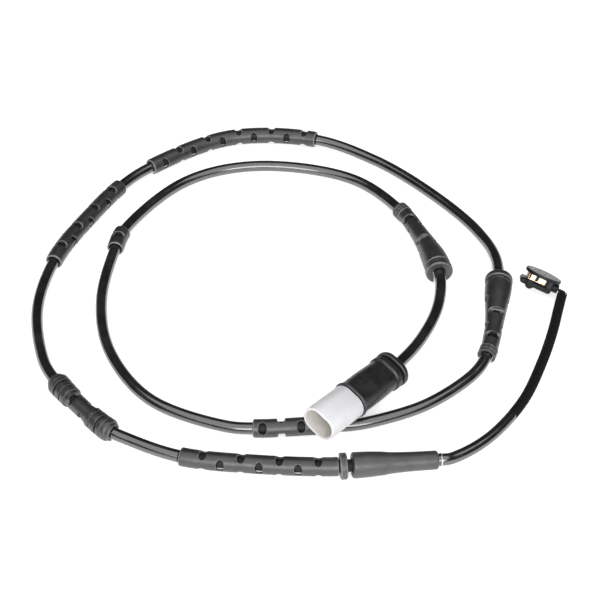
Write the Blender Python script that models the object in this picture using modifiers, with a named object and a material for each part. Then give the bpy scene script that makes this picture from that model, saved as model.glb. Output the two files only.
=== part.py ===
"""Brake pad wear sensor, lying at rest: connector, cable with its rubber sleeves, splice, tail and head.

Units are metres, +Z is up and Z = 0 is the surface that the sensor lies on. The origin is under the
middle of the rubber, plastic and metal pieces. Turned sleeves are modelled straight, along local Z at
their distance from the cable's start, and a Curve modifier then bends them on to the cable's line.
"""
import math
from dataclasses import dataclass

import bmesh
import bpy
from mathutils import Matrix, Vector

# Shared clearances and mesh steps
GAP = 0.0003
BORE_GAP = 0.00035
TURN_STEPS = 16
BEND_SNAP = 0.0001
MERGE = 0.00001
OVERCUT = 0.001
ORIGIN_SHIFT = Vector((0.00105, 0.00478, 0.0))

# Cable and tail
CABLE_D = 0.0045
TAIL_D = 0.0041
CABLE_SIDES = 4
TAIL_SIDES = 3
CABLE_STEP = 0.014
TAIL_STEP = 0.0125
EXIT_LENGTH = 0.0012
CABLE_R = CABLE_D / 2
TAIL_R = TAIL_D / 2
CABLE_BORE = CABLE_R + BORE_GAP
TAIL_BORE = TAIL_R + BORE_GAP

# Rubber sleeves and grommets, radii and slits
SLEEVE_R = 0.00342
SLEEVE_SLIT = 0.0026
SLEEVE_CHAMFER = 0.0003
COLLAR_R = 0.0043
INNER_COLLAR_R = 0.00415
DOUBLE_GROOVE_R = 0.0036
DOUBLE_WAIST_R = 0.00342
DOUBLE_END_R = 0.0035
DOUBLE_END_WIDTH = 0.0014
COLLAR_WIDTH = 0.0038
COLLAR_GROOVE_WIDTH = 0.0009
INNER_COLLAR_WIDTH = 0.0052
FLANGE_R = 0.0055
FLANGE_THICK = 0.0024
FLANGE_GROOVE_R = 0.0046
FLANGE_GROOVE_WIDTH = 0.0013
GROMMET_BODY_R = 0.0053
GROMMET_MID_R = 0.0040
GROMMET_END_R = 0.00325
GROMMET_RIDGE_R = 0.00355
GROMMET_SLIT = 0.0042
RIDGE_WIDTH = 0.0008
STOP_RING_R = 0.00485
STOP_RING_WIDTH = 0.0025
NOTCH_R = 0.0014
NOTCH_SINK = 0.0003
NOTCH_LENGTH = 0.012

# Connector, measured along its axis from the rear face of the boot
CONNECTOR_REAR = Vector((0.03482, -0.04562, 0.00655))
CONNECTOR_RIM = Vector((0.00652, -0.08215, 0.01385))
CONNECTOR_ROLL = math.radians(-20)
CONNECTOR_LENGTH = (CONNECTOR_RIM - CONNECTOR_REAR).length
BOOT_LENGTH = 0.0279
BOOT_HALF = Vector((0.00675, 0.0049))
BOOT_LIP = 0.00065
BOOT_LIP_LENGTH = 0.0015
BOOT_FLANGE = 0.00045
BOOT_FLANGE_LENGTH = 0.0022
BOOT_GROOVE = 0.0007
BOOT_GROOVE_LENGTH = 0.0014
BOOT_COLLAR = 0.0003
BOOT_COLLAR_LENGTH = 0.0028
BOOT_WAIST = 0.0002
SHELL_HALF = Vector((0.00693, 0.00495))
SHELL_WALL = 0.0011
SHELL_REAR = 0.0080
SHELL_TAIL_HALF = Vector((0.0056, 0.00375))
SHELL_TAIL_WALL = 0.0009
CARRIER_REAR = 0.0120
CARRIER_LENGTH = 0.0154
PIN_SPACING = 0.0044
PIN_R = 0.0008
PIN_SHANK_R = 0.00095
PIN_REAR = 0.0095
PIN_REACH = 0.0084
LEAD_R = 0.0006
LEAD_SPACING = 0.0016
CABLE_ENTRY = 0.0050
BOOT_BORE_LENGTH = 0.0056
OVAL_SEGMENTS = 8

# Splice between the cable and the tail, measured from its cable end
SPLICE_START = Vector((0.0183, -0.0937, 0.0049))
SPLICE_END = Vector((0.0490, -0.0896, 0.0034))
SPLICE_LARGE_R = 0.0047
SPLICE_MID_R = 0.00365
SPLICE_SMALL_R = 0.0034
SPLICE_ROUND = 0.0008
SPLICE_ENTRY = 0.0070
SPLICE_HOLE_R = 0.0006
SPLICE_HOLE_FROM_END = 0.0040
CRIMP_R = 0.00095
CRIMP_LENGTH = 0.0070
STRAND_R = 0.0005
TAIL_RING_R = 0.0028
TAIL_RING_WIDTH = 0.0011
TAIL_JACKET_LENGTH = 0.0445

# Sensor head: X along the plate, Y away from the clip's front, Z out of the plate's face
HEAD_ORIGIN = Vector((0.0938, 0.0054, 0.00627))
HEAD_LONG = Vector((0.910, -0.270, -0.310))
HEAD_UP = Vector((0.398, 0.406, 0.820))
PLATE_HALF = Vector((0.00745, 0.0063))
PLATE_X = 0.00145
PLATE_THICK = 0.0013
PLATE_TOP = 0.0031
WAIST_HALF = 0.0030
WAIST_ROUND = 0.0005
WAIST_LEFT = -0.0040
WAIST_RIGHT = 0.0039
NECK_HALF = 0.0036
NECK_RIGHT = 0.0062
FOOT_LEFT = -0.0066
FOOT_RIGHT = 0.0070
FOOT_HALF = 0.0040
FOOT_TOP = -0.0010
FOOT_BOTTOM = -0.0034
FOOT_ROUND = 0.0010
BULGE_R = 0.0018
BULGE_X = -0.0024
BULGE_RISE = 0.0008
EAR_R = 0.0018
EAR_Y = -0.0010
EAR_Z = -0.00035
EAR_END = 0.0088
LOOP_R = 0.00045
LOOP_HALF = 0.0006
LOOP_REACH = 0.4
LOOP_TIP = -0.0020
CLIP_THICK = 0.00035
CLIP_RIGHT = 0.0031
CLIP_SLOT_WIDTH = 0.0010
CLIP_SLOT_X = -0.0007
CLIP_EDGE_SLOT_WIDTH = 0.0005
CLIP_EDGE_SLOT_X = -0.0037
CLIP_BAR = 0.0004
TAIL_MOUTH = Vector((0.0108, -0.0036, -0.0006))


def split_rest(radius, slit, roll):
    """Height of the axis of a rolled split ring that lies on the edge of its slit."""
    edge = math.asin(slit / 2 / radius) - math.radians(abs(roll))
    return radius * math.cos(max(edge, 0.0))


# How far each moulding is rolled about the cable, in degrees
INNER_ROLL = -30
CLIP_ROLL = 5
NOTCHED_ROLL = -41
OUTER_ROLL = 10
TOP_ROLL = 12
LEFT_ROLL = 10
DOUBLE_ROLL = 20
BOTTOM_ROLL = -12
FLANGE_REST = split_rest(FLANGE_R, GROMMET_SLIT, OUTER_ROLL)
SMALL_END_REST = split_rest(GROMMET_RIDGE_R, GROMMET_SLIT, OUTER_ROLL)
SLEEVE_REST = split_rest(SLEEVE_R, SLEEVE_SLIT, NOTCHED_ROLL)
INNER_FLANGE_REST = split_rest(FLANGE_R, GROMMET_SLIT, INNER_ROLL)
INNER_SMALL_END_REST = split_rest(GROMMET_RIDGE_R, GROMMET_SLIT, INNER_ROLL)

# The cable's route between connector and splice: x, y and the height of its axis
CABLE_ROUTE = (
    (0.0461, -0.0270, 0.0038),
    (0.0540, -0.0068, 0.0036),
    (0.0554, 0.0098, INNER_FLANGE_REST),
    (0.0477, 0.0390, 0.0040),
    (0.0413, 0.0528, INNER_SMALL_END_REST),
    (0.0216, 0.0755, CABLE_R),
    (-0.0182, 0.0844, CABLE_R),
    (-0.0475, 0.0742, CABLE_R),
    (-0.0717, 0.0401, SLEEVE_REST),
    (-0.0750, 0.0267, SLEEVE_REST),
    (-0.0780, -0.0025, CABLE_R),
    (-0.0722, -0.0324, CABLE_R),
    (-0.0550, -0.0583, CABLE_R),
    (-0.0273, -0.0719, 0.0025),
    (-0.0152, -0.0740, SLEEVE_REST),
    (0.0069, -0.0726, SLEEVE_REST),
    (0.0165, -0.0716, 0.0024),
    (0.0263, -0.0694, CABLE_R),
    (0.0465, -0.0607, CABLE_R),
    (0.0651, -0.0445, CABLE_R),
    (0.0713, -0.0335, SMALL_END_REST),
    (0.0775, -0.0020, 0.0050),
    (0.0786, 0.0070, 0.0055),
    (0.0786, 0.0200, 0.0048),
    (0.0742, 0.0374, CABLE_R),
    (0.0572, 0.0630, CABLE_R),
    (0.0307, 0.0897, CABLE_R),
    (0.0057, 0.1022, SLEEVE_REST),
    (-0.0306, 0.1031, SLEEVE_REST),
    (-0.0631, 0.0827, SLEEVE_REST),
    (-0.0753, 0.0692, SLEEVE_REST),
    (-0.0870, 0.0483, SLEEVE_REST),
    (-0.0983, 0.0217, SLEEVE_REST),
    (-0.1026, -0.0055, CABLE_R),
    (-0.0977, -0.0354, 0.0036),
    (-0.0921, -0.0483, COLLAR_R),
    (-0.0693, -0.0755, COLLAR_R),
    (-0.0618, -0.0798, 0.0038),
    (-0.0428, -0.0879, SLEEVE_REST),
    (-0.0142, -0.0925, 0.0041),
    (0.0110, -0.0943, STOP_RING_R),
)

# The tail's route between splice and sensor head
TAIL_ROUTE = (
    (0.0542, -0.0880, 0.0026),
    (0.0632, -0.0819, TAIL_R),
    (0.0716, -0.0738, TAIL_R),
    (0.0829, -0.0576, TAIL_R),
    (0.0920, -0.0365, TAIL_R),
    (0.0975, -0.0204, 0.0024),
    (0.1006, -0.0095, 0.0037),
)


@dataclass(frozen=True)
class Row:
    """Notches on opposite sides of a sleeve: the first one's distance from its start, and how many."""

    first: float
    count: int
    pitch: float


@dataclass(frozen=True)
class Sleeve:
    """A split rubber moulding on the cable, placed by its distance from the cable's start."""

    name: str
    start: float
    profile: tuple
    slit: float
    roll: float
    top_row: Row
    side_row: Row
    one_sided: bool = False


def plain_profile(length):
    """Distance and radius pairs of a plain sleeve with chamfered ends."""
    return (
        (0.0, SLEEVE_R - SLEEVE_CHAMFER),
        (SLEEVE_CHAMFER, SLEEVE_R),
        (length - SLEEVE_CHAMFER, SLEEVE_R),
        (length, SLEEVE_R - SLEEVE_CHAMFER),
    )


def grommet_profile(length):
    """Distance and radius pairs of a tapered grommet, from its flange to its ridged small end."""
    groove_end = FLANGE_THICK + FLANGE_GROOVE_WIDTH
    ridges = length - 5 * RIDGE_WIDTH
    return (
        (0.0, FLANGE_R - SLEEVE_CHAMFER),
        (SLEEVE_CHAMFER, FLANGE_R),
        (FLANGE_THICK, FLANGE_R),
        (FLANGE_THICK, FLANGE_GROOVE_R),
        (groove_end, FLANGE_GROOVE_R),
        (groove_end, GROMMET_BODY_R),
        (length * 0.17, GROMMET_BODY_R * 0.98),
        (length * 0.31, GROMMET_BODY_R * 0.88),
        (length * 0.45, GROMMET_MID_R),
        (length * 0.75, GROMMET_END_R + SLEEVE_CHAMFER / 2),
        (ridges, GROMMET_END_R),
        (ridges, GROMMET_RIDGE_R),
        (ridges + RIDGE_WIDTH, GROMMET_RIDGE_R),
        (ridges + RIDGE_WIDTH, GROMMET_END_R),
        (ridges + 2 * RIDGE_WIDTH, GROMMET_END_R),
        (ridges + 2 * RIDGE_WIDTH, GROMMET_RIDGE_R),
        (ridges + 3 * RIDGE_WIDTH, GROMMET_RIDGE_R),
        (ridges + 3 * RIDGE_WIDTH, GROMMET_END_R),
        (ridges + 4 * RIDGE_WIDTH, GROMMET_END_R),
        (ridges + 4 * RIDGE_WIDTH, GROMMET_RIDGE_R),
        (length, GROMMET_RIDGE_R),
    )


def flipped(profile):
    """The same profile, run from its other end."""
    length = profile[-1][0]
    return tuple((length - distance, radius) for distance, radius in reversed(profile))


def double_profile(length):
    """Distance and radius pairs of the sleeve with two grooved collars at each end."""
    collar_end = DOUBLE_END_WIDTH + COLLAR_WIDTH
    inner_start = collar_end + COLLAR_GROOVE_WIDTH
    inner_end = inner_start + INNER_COLLAR_WIDTH
    near = (
        (0.0, DOUBLE_END_R - SLEEVE_CHAMFER),
        (SLEEVE_CHAMFER, DOUBLE_END_R),
        (DOUBLE_END_WIDTH, DOUBLE_END_R),
        (DOUBLE_END_WIDTH, COLLAR_R - SLEEVE_CHAMFER),
        (DOUBLE_END_WIDTH + 2 * SLEEVE_CHAMFER, COLLAR_R),
        (collar_end, COLLAR_R),
        (collar_end, DOUBLE_GROOVE_R),
        (inner_start, DOUBLE_GROOVE_R),
        (inner_start, INNER_COLLAR_R),
        (inner_end, INNER_COLLAR_R),
        (inner_end, DOUBLE_WAIST_R),
    )
    far = tuple((length - distance, radius) for distance, radius in reversed(near))
    return near + far


NO_ROW = Row(0.0, 0, 0.0)
INNER_GROMMET_LENGTH = 0.0451
CLIP_SLEEVE_LENGTH = 0.0110
NOTCHED_SLEEVE_LENGTH = 0.0240
OUTER_GROMMET_LENGTH = 0.0427
LONG_SLEEVE_TOP_LENGTH = 0.0776
LONG_SLEEVE_LEFT_LENGTH = 0.0543
DOUBLE_GROMMET_LENGTH = 0.0358
LONG_SLEEVE_BOTTOM_LENGTH = 0.0567
STOP_RING_CLEARANCE = 0.0020
SLEEVES = (
    Sleeve("inner_grommet", 0.0657, grommet_profile(INNER_GROMMET_LENGTH), GROMMET_SLIT, INNER_ROLL,
           Row(0.0198, 2, 0.0157), Row(0.0163, 2, 0.0140)),
    Sleeve("clip_sleeve", 0.2581, plain_profile(CLIP_SLEEVE_LENGTH), SLEEVE_SLIT, CLIP_ROLL,
           Row(0.0054, 1, 0.0), NO_ROW, True),
    Sleeve("notched_sleeve", 0.4027, plain_profile(NOTCHED_SLEEVE_LENGTH), SLEEVE_SLIT, NOTCHED_ROLL,
           Row(0.0102, 1, 0.0), Row(0.0035, 2, 0.0137)),
    Sleeve("outer_grommet", 0.5035, flipped(grommet_profile(OUTER_GROMMET_LENGTH)), GROMMET_SLIT,
           OUTER_ROLL, Row(0.0092, 2, 0.0126), Row(0.0152, 2, 0.0141)),
    Sleeve("long_sleeve_top", 0.6734, plain_profile(LONG_SLEEVE_TOP_LENGTH), SLEEVE_SLIT, TOP_ROLL,
           Row(0.0053, 5, 0.0144), Row(0.0128, 5, 0.0147)),
    Sleeve("long_sleeve_left", 0.7692, plain_profile(LONG_SLEEVE_LEFT_LENGTH), SLEEVE_SLIT, LEFT_ROLL,
           Row(0.0063, 4, 0.0133), Row(0.0128, 3, 0.0137)),
    Sleeve("double_grommet", 0.8954, double_profile(DOUBLE_GROMMET_LENGTH), SLEEVE_SLIT, DOUBLE_ROLL,
           Row(0.0143, 1, 0.0), Row(0.0208, 1, 0.0)),
)


def bottom_sleeve(end):
    """The last sleeve, which ends just before the stop ring."""
    length = LONG_SLEEVE_BOTTOM_LENGTH
    return Sleeve("long_sleeve_bottom", end - length, plain_profile(length), SLEEVE_SLIT, BOTTOM_ROLL,
                  Row(0.0084, 4, 0.0137), Row(0.0149, 3, 0.0138))


def material(name, colour, roughness, metallic=0.0):
    """A Principled material with one colour."""
    mat = bpy.data.materials.new(name)
    mat.use_nodes = True
    shader = mat.node_tree.nodes["Principled BSDF"]
    shader.inputs["Base Color"].default_value = (*colour, 1.0)
    shader.inputs["Roughness"].default_value = roughness
    shader.inputs["Metallic"].default_value = metallic
    mat.diffuse_color = (*colour, 1.0)
    return mat


def collection(name):
    """A new collection in the scene."""
    made = bpy.data.collections.new(name)
    bpy.context.scene.collection.children.link(made)
    return made


def clear_scene():
    """Remove what a new Blender file holds."""
    for obj in list(bpy.data.objects):
        bpy.data.objects.remove(obj)


clear_scene()
PART = collection("brake_pad_wear_sensor")
CUTTERS = collection("cutters_and_guides")
GLOSS_BLACK = material("gloss_black_jacket", (0.012, 0.012, 0.012), 0.22)
BRAID_BLACK = material("black_braid", (0.018, 0.017, 0.016), 0.75)
SLEEVE_RUBBER = material("sleeve_rubber", (0.075, 0.076, 0.080), 0.62)
BOOT_RUBBER = material("boot_rubber", (0.026, 0.026, 0.026), 0.55)
SPLICE_RUBBER = material("splice_rubber", (0.085, 0.086, 0.090), 0.60)
WHITE_PLASTIC = material("white_plastic", (0.80, 0.80, 0.81), 0.40)
GREY_PLASTIC = material("grey_plastic", (0.40, 0.39, 0.37), 0.50)
HEAD_PLASTIC = material("head_plastic", (0.060, 0.062, 0.070), 0.50)
BRASS = material("brass", (0.78, 0.58, 0.30), 0.28, 1.0)
TIN = material("tinned_metal", (0.72, 0.72, 0.70), 0.30, 1.0)
LEAD_BLACK = material("lead_insulation", (0.015, 0.015, 0.015), 0.45)


def add(name, mesh, mat, parent=None, smooth=True):
    """Put a finished mesh or curve into the part as one named object."""
    obj = bpy.data.objects.new(name, mesh)
    PART.objects.link(obj)
    mesh.materials.append(mat)
    if smooth and isinstance(mesh, bpy.types.Mesh):
        mesh.shade_smooth()
    obj.parent = parent
    return obj


def add_cutter(name, mesh, parent=None):
    """Put a tool mesh or a guide curve into the collection that the part leaves out."""
    obj = bpy.data.objects.new(name, mesh)
    CUTTERS.objects.link(obj)
    obj.hide_render = True
    obj.display_type = "WIRE"
    obj.parent = parent
    return obj


def mesh_from(bm, name):
    """Turn a bmesh into mesh data with its faces pointing outwards."""
    bmesh.ops.recalc_face_normals(bm, faces=bm.faces)
    mesh = bpy.data.meshes.new(name)
    bm.to_mesh(mesh)
    bm.free()
    return mesh


def boolean(obj, tool, operation="DIFFERENCE"):
    """Cut or join one object with another, with the exact solver."""
    modifier = obj.modifiers.new(operation.lower() + "_" + tool.name, "BOOLEAN")
    modifier.operation = operation
    modifier.solver = "EXACT"
    modifier.object = tool
    return modifier


def frame_empty(name, matrix):
    """An empty that carries the frame of a sub-assembly."""
    empty = bpy.data.objects.new(name, None)
    CUTTERS.objects.link(empty)
    empty.matrix_world = matrix
    return empty


def frame_matrix(origin, forward, upward):
    """A frame at origin with Z along forward and Y as near to upward as it can be."""
    z_axis = forward.normalized()
    x_axis = upward.cross(z_axis).normalized()
    y_axis = z_axis.cross(x_axis)
    rotation = Matrix((x_axis, y_axis, z_axis)).transposed()
    return Matrix.Translation(origin) @ rotation.to_4x4()


def smooth_line(points, step):
    """Evenly spaced points on a smooth curve, with the first and last points as its straight ends."""
    fine = []
    for p0, p1, p2, p3 in zip(points, points[1:], points[2:], points[3:]):
        t1 = (p1 - p0).length ** 0.5
        t2 = t1 + (p2 - p1).length ** 0.5
        t3 = t2 + (p3 - p2).length ** 0.5
        for i in range(40):
            t = t1 + (t2 - t1) * i / 40
            a1 = p0.lerp(p1, t / t1)
            a2 = p1.lerp(p2, (t - t1) / (t2 - t1))
            a3 = p2.lerp(p3, (t - t2) / (t3 - t2))
            b1 = a1.lerp(a2, t / t2)
            b2 = a2.lerp(a3, (t - t1) / (t3 - t1))
            fine.append(b1.lerp(b2, (t - t1) / (t2 - t1)))
    fine.append(points[-2])
    return [points[0], *even_points(fine, step), points[-1]]


def even_points(line, step):
    """Points along a polyline, a whole number of equal steps apart that is nearest to step."""
    distances = stations_of(line)
    count = round(distances[-1] / step)
    spaced = []
    index = 0
    for i in range(count + 1):
        target = distances[-1] * i / count
        while index < len(line) - 2 and distances[index + 1] < target:
            index += 1
        span = distances[index + 1] - distances[index]
        spaced.append(line[index].lerp(line[index + 1], (target - distances[index]) / span))
    return spaced


def poly_curve(name, points, radius=0.0, sides=0):
    """A poly spline through the points, as a bare guide or as a round tube with filled caps."""
    curve = bpy.data.curves.new(name, "CURVE")
    curve.dimensions = "3D"
    curve.twist_mode = "Z_UP"
    curve.bevel_depth = radius
    curve.bevel_resolution = sides
    curve.use_fill_caps = radius > 0
    spline = curve.splines.new("POLY")
    spline.points.add(len(points) - 1)
    for spline_point, point in zip(spline.points, points):
        spline_point.co = (*point, 1.0)
    return curve


def with_loops(points, stations):
    """Split the spans of a profile where the guide turns, so that it can follow the bend."""
    finer = [points[0]]
    for (start, start_r), (end, end_r) in zip(points, points[1:]):
        inside = [s for s in stations if min(start, end) + BEND_SNAP < s < max(start, end) - BEND_SNAP]
        for station in inside if end > start else inside[::-1]:
            share = (station - start) / (end - start)
            finer.append((station, start_r + (end_r - start_r) * share))
        finer.append((end, end_r))
    return finer


def stations_of(line):
    """Distance of each point of a polyline from its start."""
    distances = [0.0]
    for start, end in zip(line, line[1:]):
        distances.append(distances[-1] + (end - start).length)
    return distances


def turned_mesh(name, outline):
    """A closed outline of distance and radius pairs, as edges ready for a Screw modifier."""
    mesh = bpy.data.meshes.new(name)
    vertices = [(radius, 0.0, distance) for distance, radius in outline]
    edges = [(i, (i + 1) % len(outline)) for i in range(len(outline))]
    mesh.from_pydata(vertices, edges, [])
    return mesh


def turn(obj, steps=TURN_STEPS):
    """Sweep an outline once round local Z."""
    screw = obj.modifiers.new("turn", "SCREW")
    screw.axis = "Z"
    screw.angle = math.tau
    screw.steps = steps
    screw.render_steps = steps
    screw.use_merge_vertices = True
    screw.merge_threshold = MERGE
    return screw


def hollow_outline(profile, bore, start, stations):
    """Outer side from the far end back to the near end, then the bore forwards again."""
    shifted = [(start + distance, radius) for distance, radius in profile]
    outer = with_loops(shifted[::-1], stations)
    inner = with_loops([(shifted[0][0], bore), (shifted[-1][0], bore)], stations)
    return outer + inner


def solid_outline(profile):
    """Outline of a turned solid without a bore, closed along the axis by Screw's merge."""
    near = (profile[0][0], 0.0)
    far = (profile[-1][0], 0.0)
    return [far, *profile[::-1], near]


def solid_turned(name, profile, mat, parent, steps=12):
    """A turned solid, such as a pin or a crimp."""
    outline = solid_outline(profile)
    mesh = bpy.data.meshes.new(name)
    vertices = [(radius, 0.0, distance) for distance, radius in outline]
    edges = [(i, i + 1) for i in range(len(outline) - 1)]
    mesh.from_pydata(vertices, edges, [])
    obj = add(name, mesh, mat, parent)
    turn(obj, steps)
    return obj


def radius_at(profile, distance):
    """Outer radius of a profile at a distance from its start."""
    for (start, start_r), (end, end_r) in zip(profile, profile[1:]):
        if start <= distance <= end and end > start:
            return start_r + (end_r - start_r) * (distance - start) / (end - start)
    return profile[-1][1]


def notch_cutter(sleeve, row, angles, label):
    """Round cross cuts on the sides of a sleeve at the given angles from its left side."""
    bm = bmesh.new()
    for i in range(row.count):
        distance = row.first + i * row.pitch
        radius = radius_at(sleeve.profile, distance)
        for angle in angles:
            turned = Matrix.Rotation(math.radians(angle + sleeve.roll), 4, "Z")
            place = turned @ Matrix.Translation((radius - NOTCH_SINK, 0.0, sleeve.start + distance))
            across = place @ Matrix.Rotation(math.radians(90), 4, "X")
            bmesh.ops.create_cone(bm, cap_ends=True, segments=14, radius1=NOTCH_R, radius2=NOTCH_R,
                                  depth=NOTCH_LENGTH, matrix=across)
    return add_cutter(sleeve.name + "_" + label, mesh_from(bm, sleeve.name + "_" + label))


def slit_cutter(sleeve):
    """A long box that opens the sleeve along its underside."""
    length = sleeve.profile[-1][0]
    deepest = max(radius for _, radius in sleeve.profile) + OVERCUT
    bm = bmesh.new()
    size = Matrix.Diagonal((sleeve.slit, deepest, length + 2 * OVERCUT, 1.0))
    place = Matrix.Translation((0.0, -deepest / 2 - CABLE_BORE / 4, sleeve.start + length / 2))
    bmesh.ops.create_cube(bm, size=1.0, matrix=place @ size)
    return add_cutter(sleeve.name + "_slit", mesh_from(bm, sleeve.name + "_slit"))


def follow(obj, guide):
    """Bend a straight piece on to the guide curve, with its Y side kept upwards."""
    triangles = obj.modifiers.new("triangles", "TRIANGULATE")
    triangles.quad_method = "SHORTEST_DIAGONAL"
    bend = obj.modifiers.new("follow_cable", "CURVE")
    bend.object = guide
    bend.deform_axis = "POS_Z"


def build_sleeve(sleeve, guide, stations):
    """One split rubber moulding: turned, notched, slit and bent along the cable."""
    outline = hollow_outline(sleeve.profile, CABLE_BORE, sleeve.start, stations)
    obj = add(sleeve.name, turned_mesh(sleeve.name, outline), SLEEVE_RUBBER)
    turn(obj)
    if sleeve.top_row.count:
        angles = (90,) if sleeve.one_sided else (90, 270)
        boolean(obj, notch_cutter(sleeve, sleeve.top_row, angles, "top_notches"))
    if sleeve.side_row.count:
        boolean(obj, notch_cutter(sleeve, sleeve.side_row, (0, 180), "side_notches"))
    boolean(obj, slit_cutter(sleeve))
    follow(obj, guide)


def build_stop_ring(guide, stations, start):
    """The thin collar between the last sleeve and the splice."""
    profile = (
        (0.0, STOP_RING_R - SLEEVE_CHAMFER),
        (SLEEVE_CHAMFER, STOP_RING_R),
        (STOP_RING_WIDTH - SLEEVE_CHAMFER, STOP_RING_R),
        (STOP_RING_WIDTH, STOP_RING_R - SLEEVE_CHAMFER),
    )
    outline = hollow_outline(profile, CABLE_BORE, start, stations)
    obj = add("stop_ring", turned_mesh("stop_ring", outline), SPLICE_RUBBER)
    turn(obj)
    follow(obj, guide)


def oval_ring(bm, distance, half_long, half_short):
    """One ring of vertices on a flat-sided oval: two half rounds joined by straight sides."""
    straight = half_long - half_short
    ring = []
    for side in (1, -1):
        for i in range(OVAL_SEGMENTS + 1):
            angle = math.pi * (i / OVAL_SEGMENTS - 0.5)
            x = side * (straight + half_short * math.cos(angle))
            y = side * half_short * math.sin(angle)
            ring.append(bm.verts.new((x, y, distance)))
    return ring


def oval_mesh(name, rings, hollow=True):
    """A loft through oval sections; a hollow one joins its last ring to its first."""
    bm = bmesh.new()
    loops = [oval_ring(bm, *ring) for ring in rings]
    pairs = list(zip(loops, loops[1:]))
    if hollow:
        pairs.append((loops[-1], loops[0]))
    else:
        bm.faces.new(loops[0])
        bm.faces.new(loops[-1])
    count = len(loops[0])
    for near, far in pairs:
        for i in range(count):
            j = (i + 1) % count
            bm.faces.new((near[i], near[j], far[j], far[i]))
    bmesh.ops.remove_doubles(bm, verts=bm.verts, dist=MERGE)
    return mesh_from(bm, name)


def section(distance, half, growth=0.0):
    """One oval section for a loft: its distance, and its half sizes made larger by growth."""
    return (distance, half.x + growth, half.y + growth)


def boot_rings():
    """Sections of the boot: outside from the rear face to the lip, then its cavity back again."""
    flange_end = BOOT_FLANGE_LENGTH
    groove_end = flange_end + BOOT_GROOVE_LENGTH
    collar_end = groove_end + BOOT_COLLAR_LENGTH
    lip_start = BOOT_LENGTH - BOOT_LIP_LENGTH
    cavity = SHELL_TAIL_HALF + Vector((GAP, GAP))
    bore = Vector((CABLE_BORE, CABLE_BORE))
    return [
        section(0.0, BOOT_HALF, BOOT_FLANGE - SLEEVE_CHAMFER),
        section(SLEEVE_CHAMFER, BOOT_HALF, BOOT_FLANGE),
        section(flange_end, BOOT_HALF, BOOT_FLANGE),
        section(flange_end, BOOT_HALF, -BOOT_GROOVE),
        section(groove_end, BOOT_HALF, -BOOT_GROOVE),
        section(groove_end, BOOT_HALF, BOOT_COLLAR),
        section(collar_end, BOOT_HALF, BOOT_COLLAR),
        section(collar_end, BOOT_HALF, -BOOT_WAIST),
        section(lip_start, BOOT_HALF),
        section(lip_start + SLEEVE_CHAMFER, BOOT_HALF, BOOT_LIP),
        section(BOOT_LENGTH - SLEEVE_CHAMFER, BOOT_HALF, BOOT_LIP),
        section(BOOT_LENGTH, BOOT_HALF, BOOT_LIP - SLEEVE_CHAMFER),
        section(BOOT_LENGTH, cavity),
        section(SHELL_REAR - OVERCUT, cavity),
        section(BOOT_BORE_LENGTH, bore),
        section(0.0, bore),
    ]


def shell_rings():
    """Sections of the white shell: its tail inside the boot, the socket in front, and the cavity."""
    shoulder = BOOT_LENGTH + GAP
    floor = CARRIER_REAR + CARRIER_LENGTH
    rim_round = SHELL_WALL / 4
    return [
        section(SHELL_REAR, SHELL_TAIL_HALF),
        section(shoulder, SHELL_TAIL_HALF),
        section(shoulder, SHELL_HALF, -rim_round),
        section(shoulder + rim_round, SHELL_HALF),
        section(CONNECTOR_LENGTH - rim_round, SHELL_HALF),
        section(CONNECTOR_LENGTH, SHELL_HALF, -rim_round),
        section(CONNECTOR_LENGTH, SHELL_HALF, -SHELL_WALL),
        section(floor + OVERCUT, SHELL_HALF, -SHELL_WALL),
        section(floor, SHELL_TAIL_HALF, -SHELL_TAIL_WALL),
        section(SHELL_REAR, SHELL_TAIL_HALF, -SHELL_TAIL_WALL),
    ]


def build_contact(side, label, frame, carrier):
    """One contact pin in its hole in the carrier, with the lead behind it."""
    x = side * PIN_SPACING / 2
    floor = CARRIER_REAR + CARRIER_LENGTH
    tip = floor + PIN_REACH
    profile = (
        (PIN_REAR, PIN_SHANK_R),
        (floor, PIN_SHANK_R),
        (floor, PIN_R),
        (tip - PIN_R, PIN_R),
        (tip, PIN_R / 2),
    )
    pin = solid_turned("contact_pin_" + label, profile, TIN, frame)
    pin.location = (x, 0.0, 0.0)
    bm = bmesh.new()
    hole = PIN_SHANK_R + GAP
    length = CARRIER_LENGTH + 2 * OVERCUT
    place = Matrix.Translation((x, 0.0, CARRIER_REAR + CARRIER_LENGTH / 2))
    bmesh.ops.create_cone(bm, cap_ends=True, segments=12, radius1=hole, radius2=hole, depth=length,
                          matrix=place)
    name = "pin_hole_" + label
    boolean(carrier, add_cutter(name, mesh_from(bm, name), frame))
    near = Vector((side * LEAD_SPACING / 2, 0.0, CABLE_ENTRY + GAP))
    far = Vector((x, 0.0, PIN_REAR - GAP))
    behind = near.lerp(Vector((near.x, 0.0, far.z)), 0.2)
    ahead = far.lerp(Vector((far.x, 0.0, near.z)), 0.2)
    line = smooth_line([near, behind, ahead, far], LEAD_R * 2)
    lead = poly_curve("connector_lead_" + label, line, LEAD_R, 2)
    add(lead.name, lead, LEAD_BLACK, frame)


def build_connector():
    """Boot, shell, contact carrier, contacts and their leads on the connector's own frame."""
    frame = frame_empty("connector_frame", connector_matrix())
    add("connector_boot", oval_mesh("connector_boot", boot_rings()), BOOT_RUBBER, frame)
    add("connector_shell", oval_mesh("connector_shell", shell_rings()), WHITE_PLASTIC, frame)
    half = SHELL_TAIL_HALF - Vector((SHELL_TAIL_WALL + GAP, SHELL_TAIL_WALL + GAP))
    ends = (CARRIER_REAR, CARRIER_REAR + CARRIER_LENGTH)
    carrier_mesh = oval_mesh("contact_carrier", [section(end, half) for end in ends], hollow=False)
    carrier = add("contact_carrier", carrier_mesh, GREY_PLASTIC, frame)
    build_contact(-1, "left", frame, carrier)
    build_contact(1, "right", frame, carrier)


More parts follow.
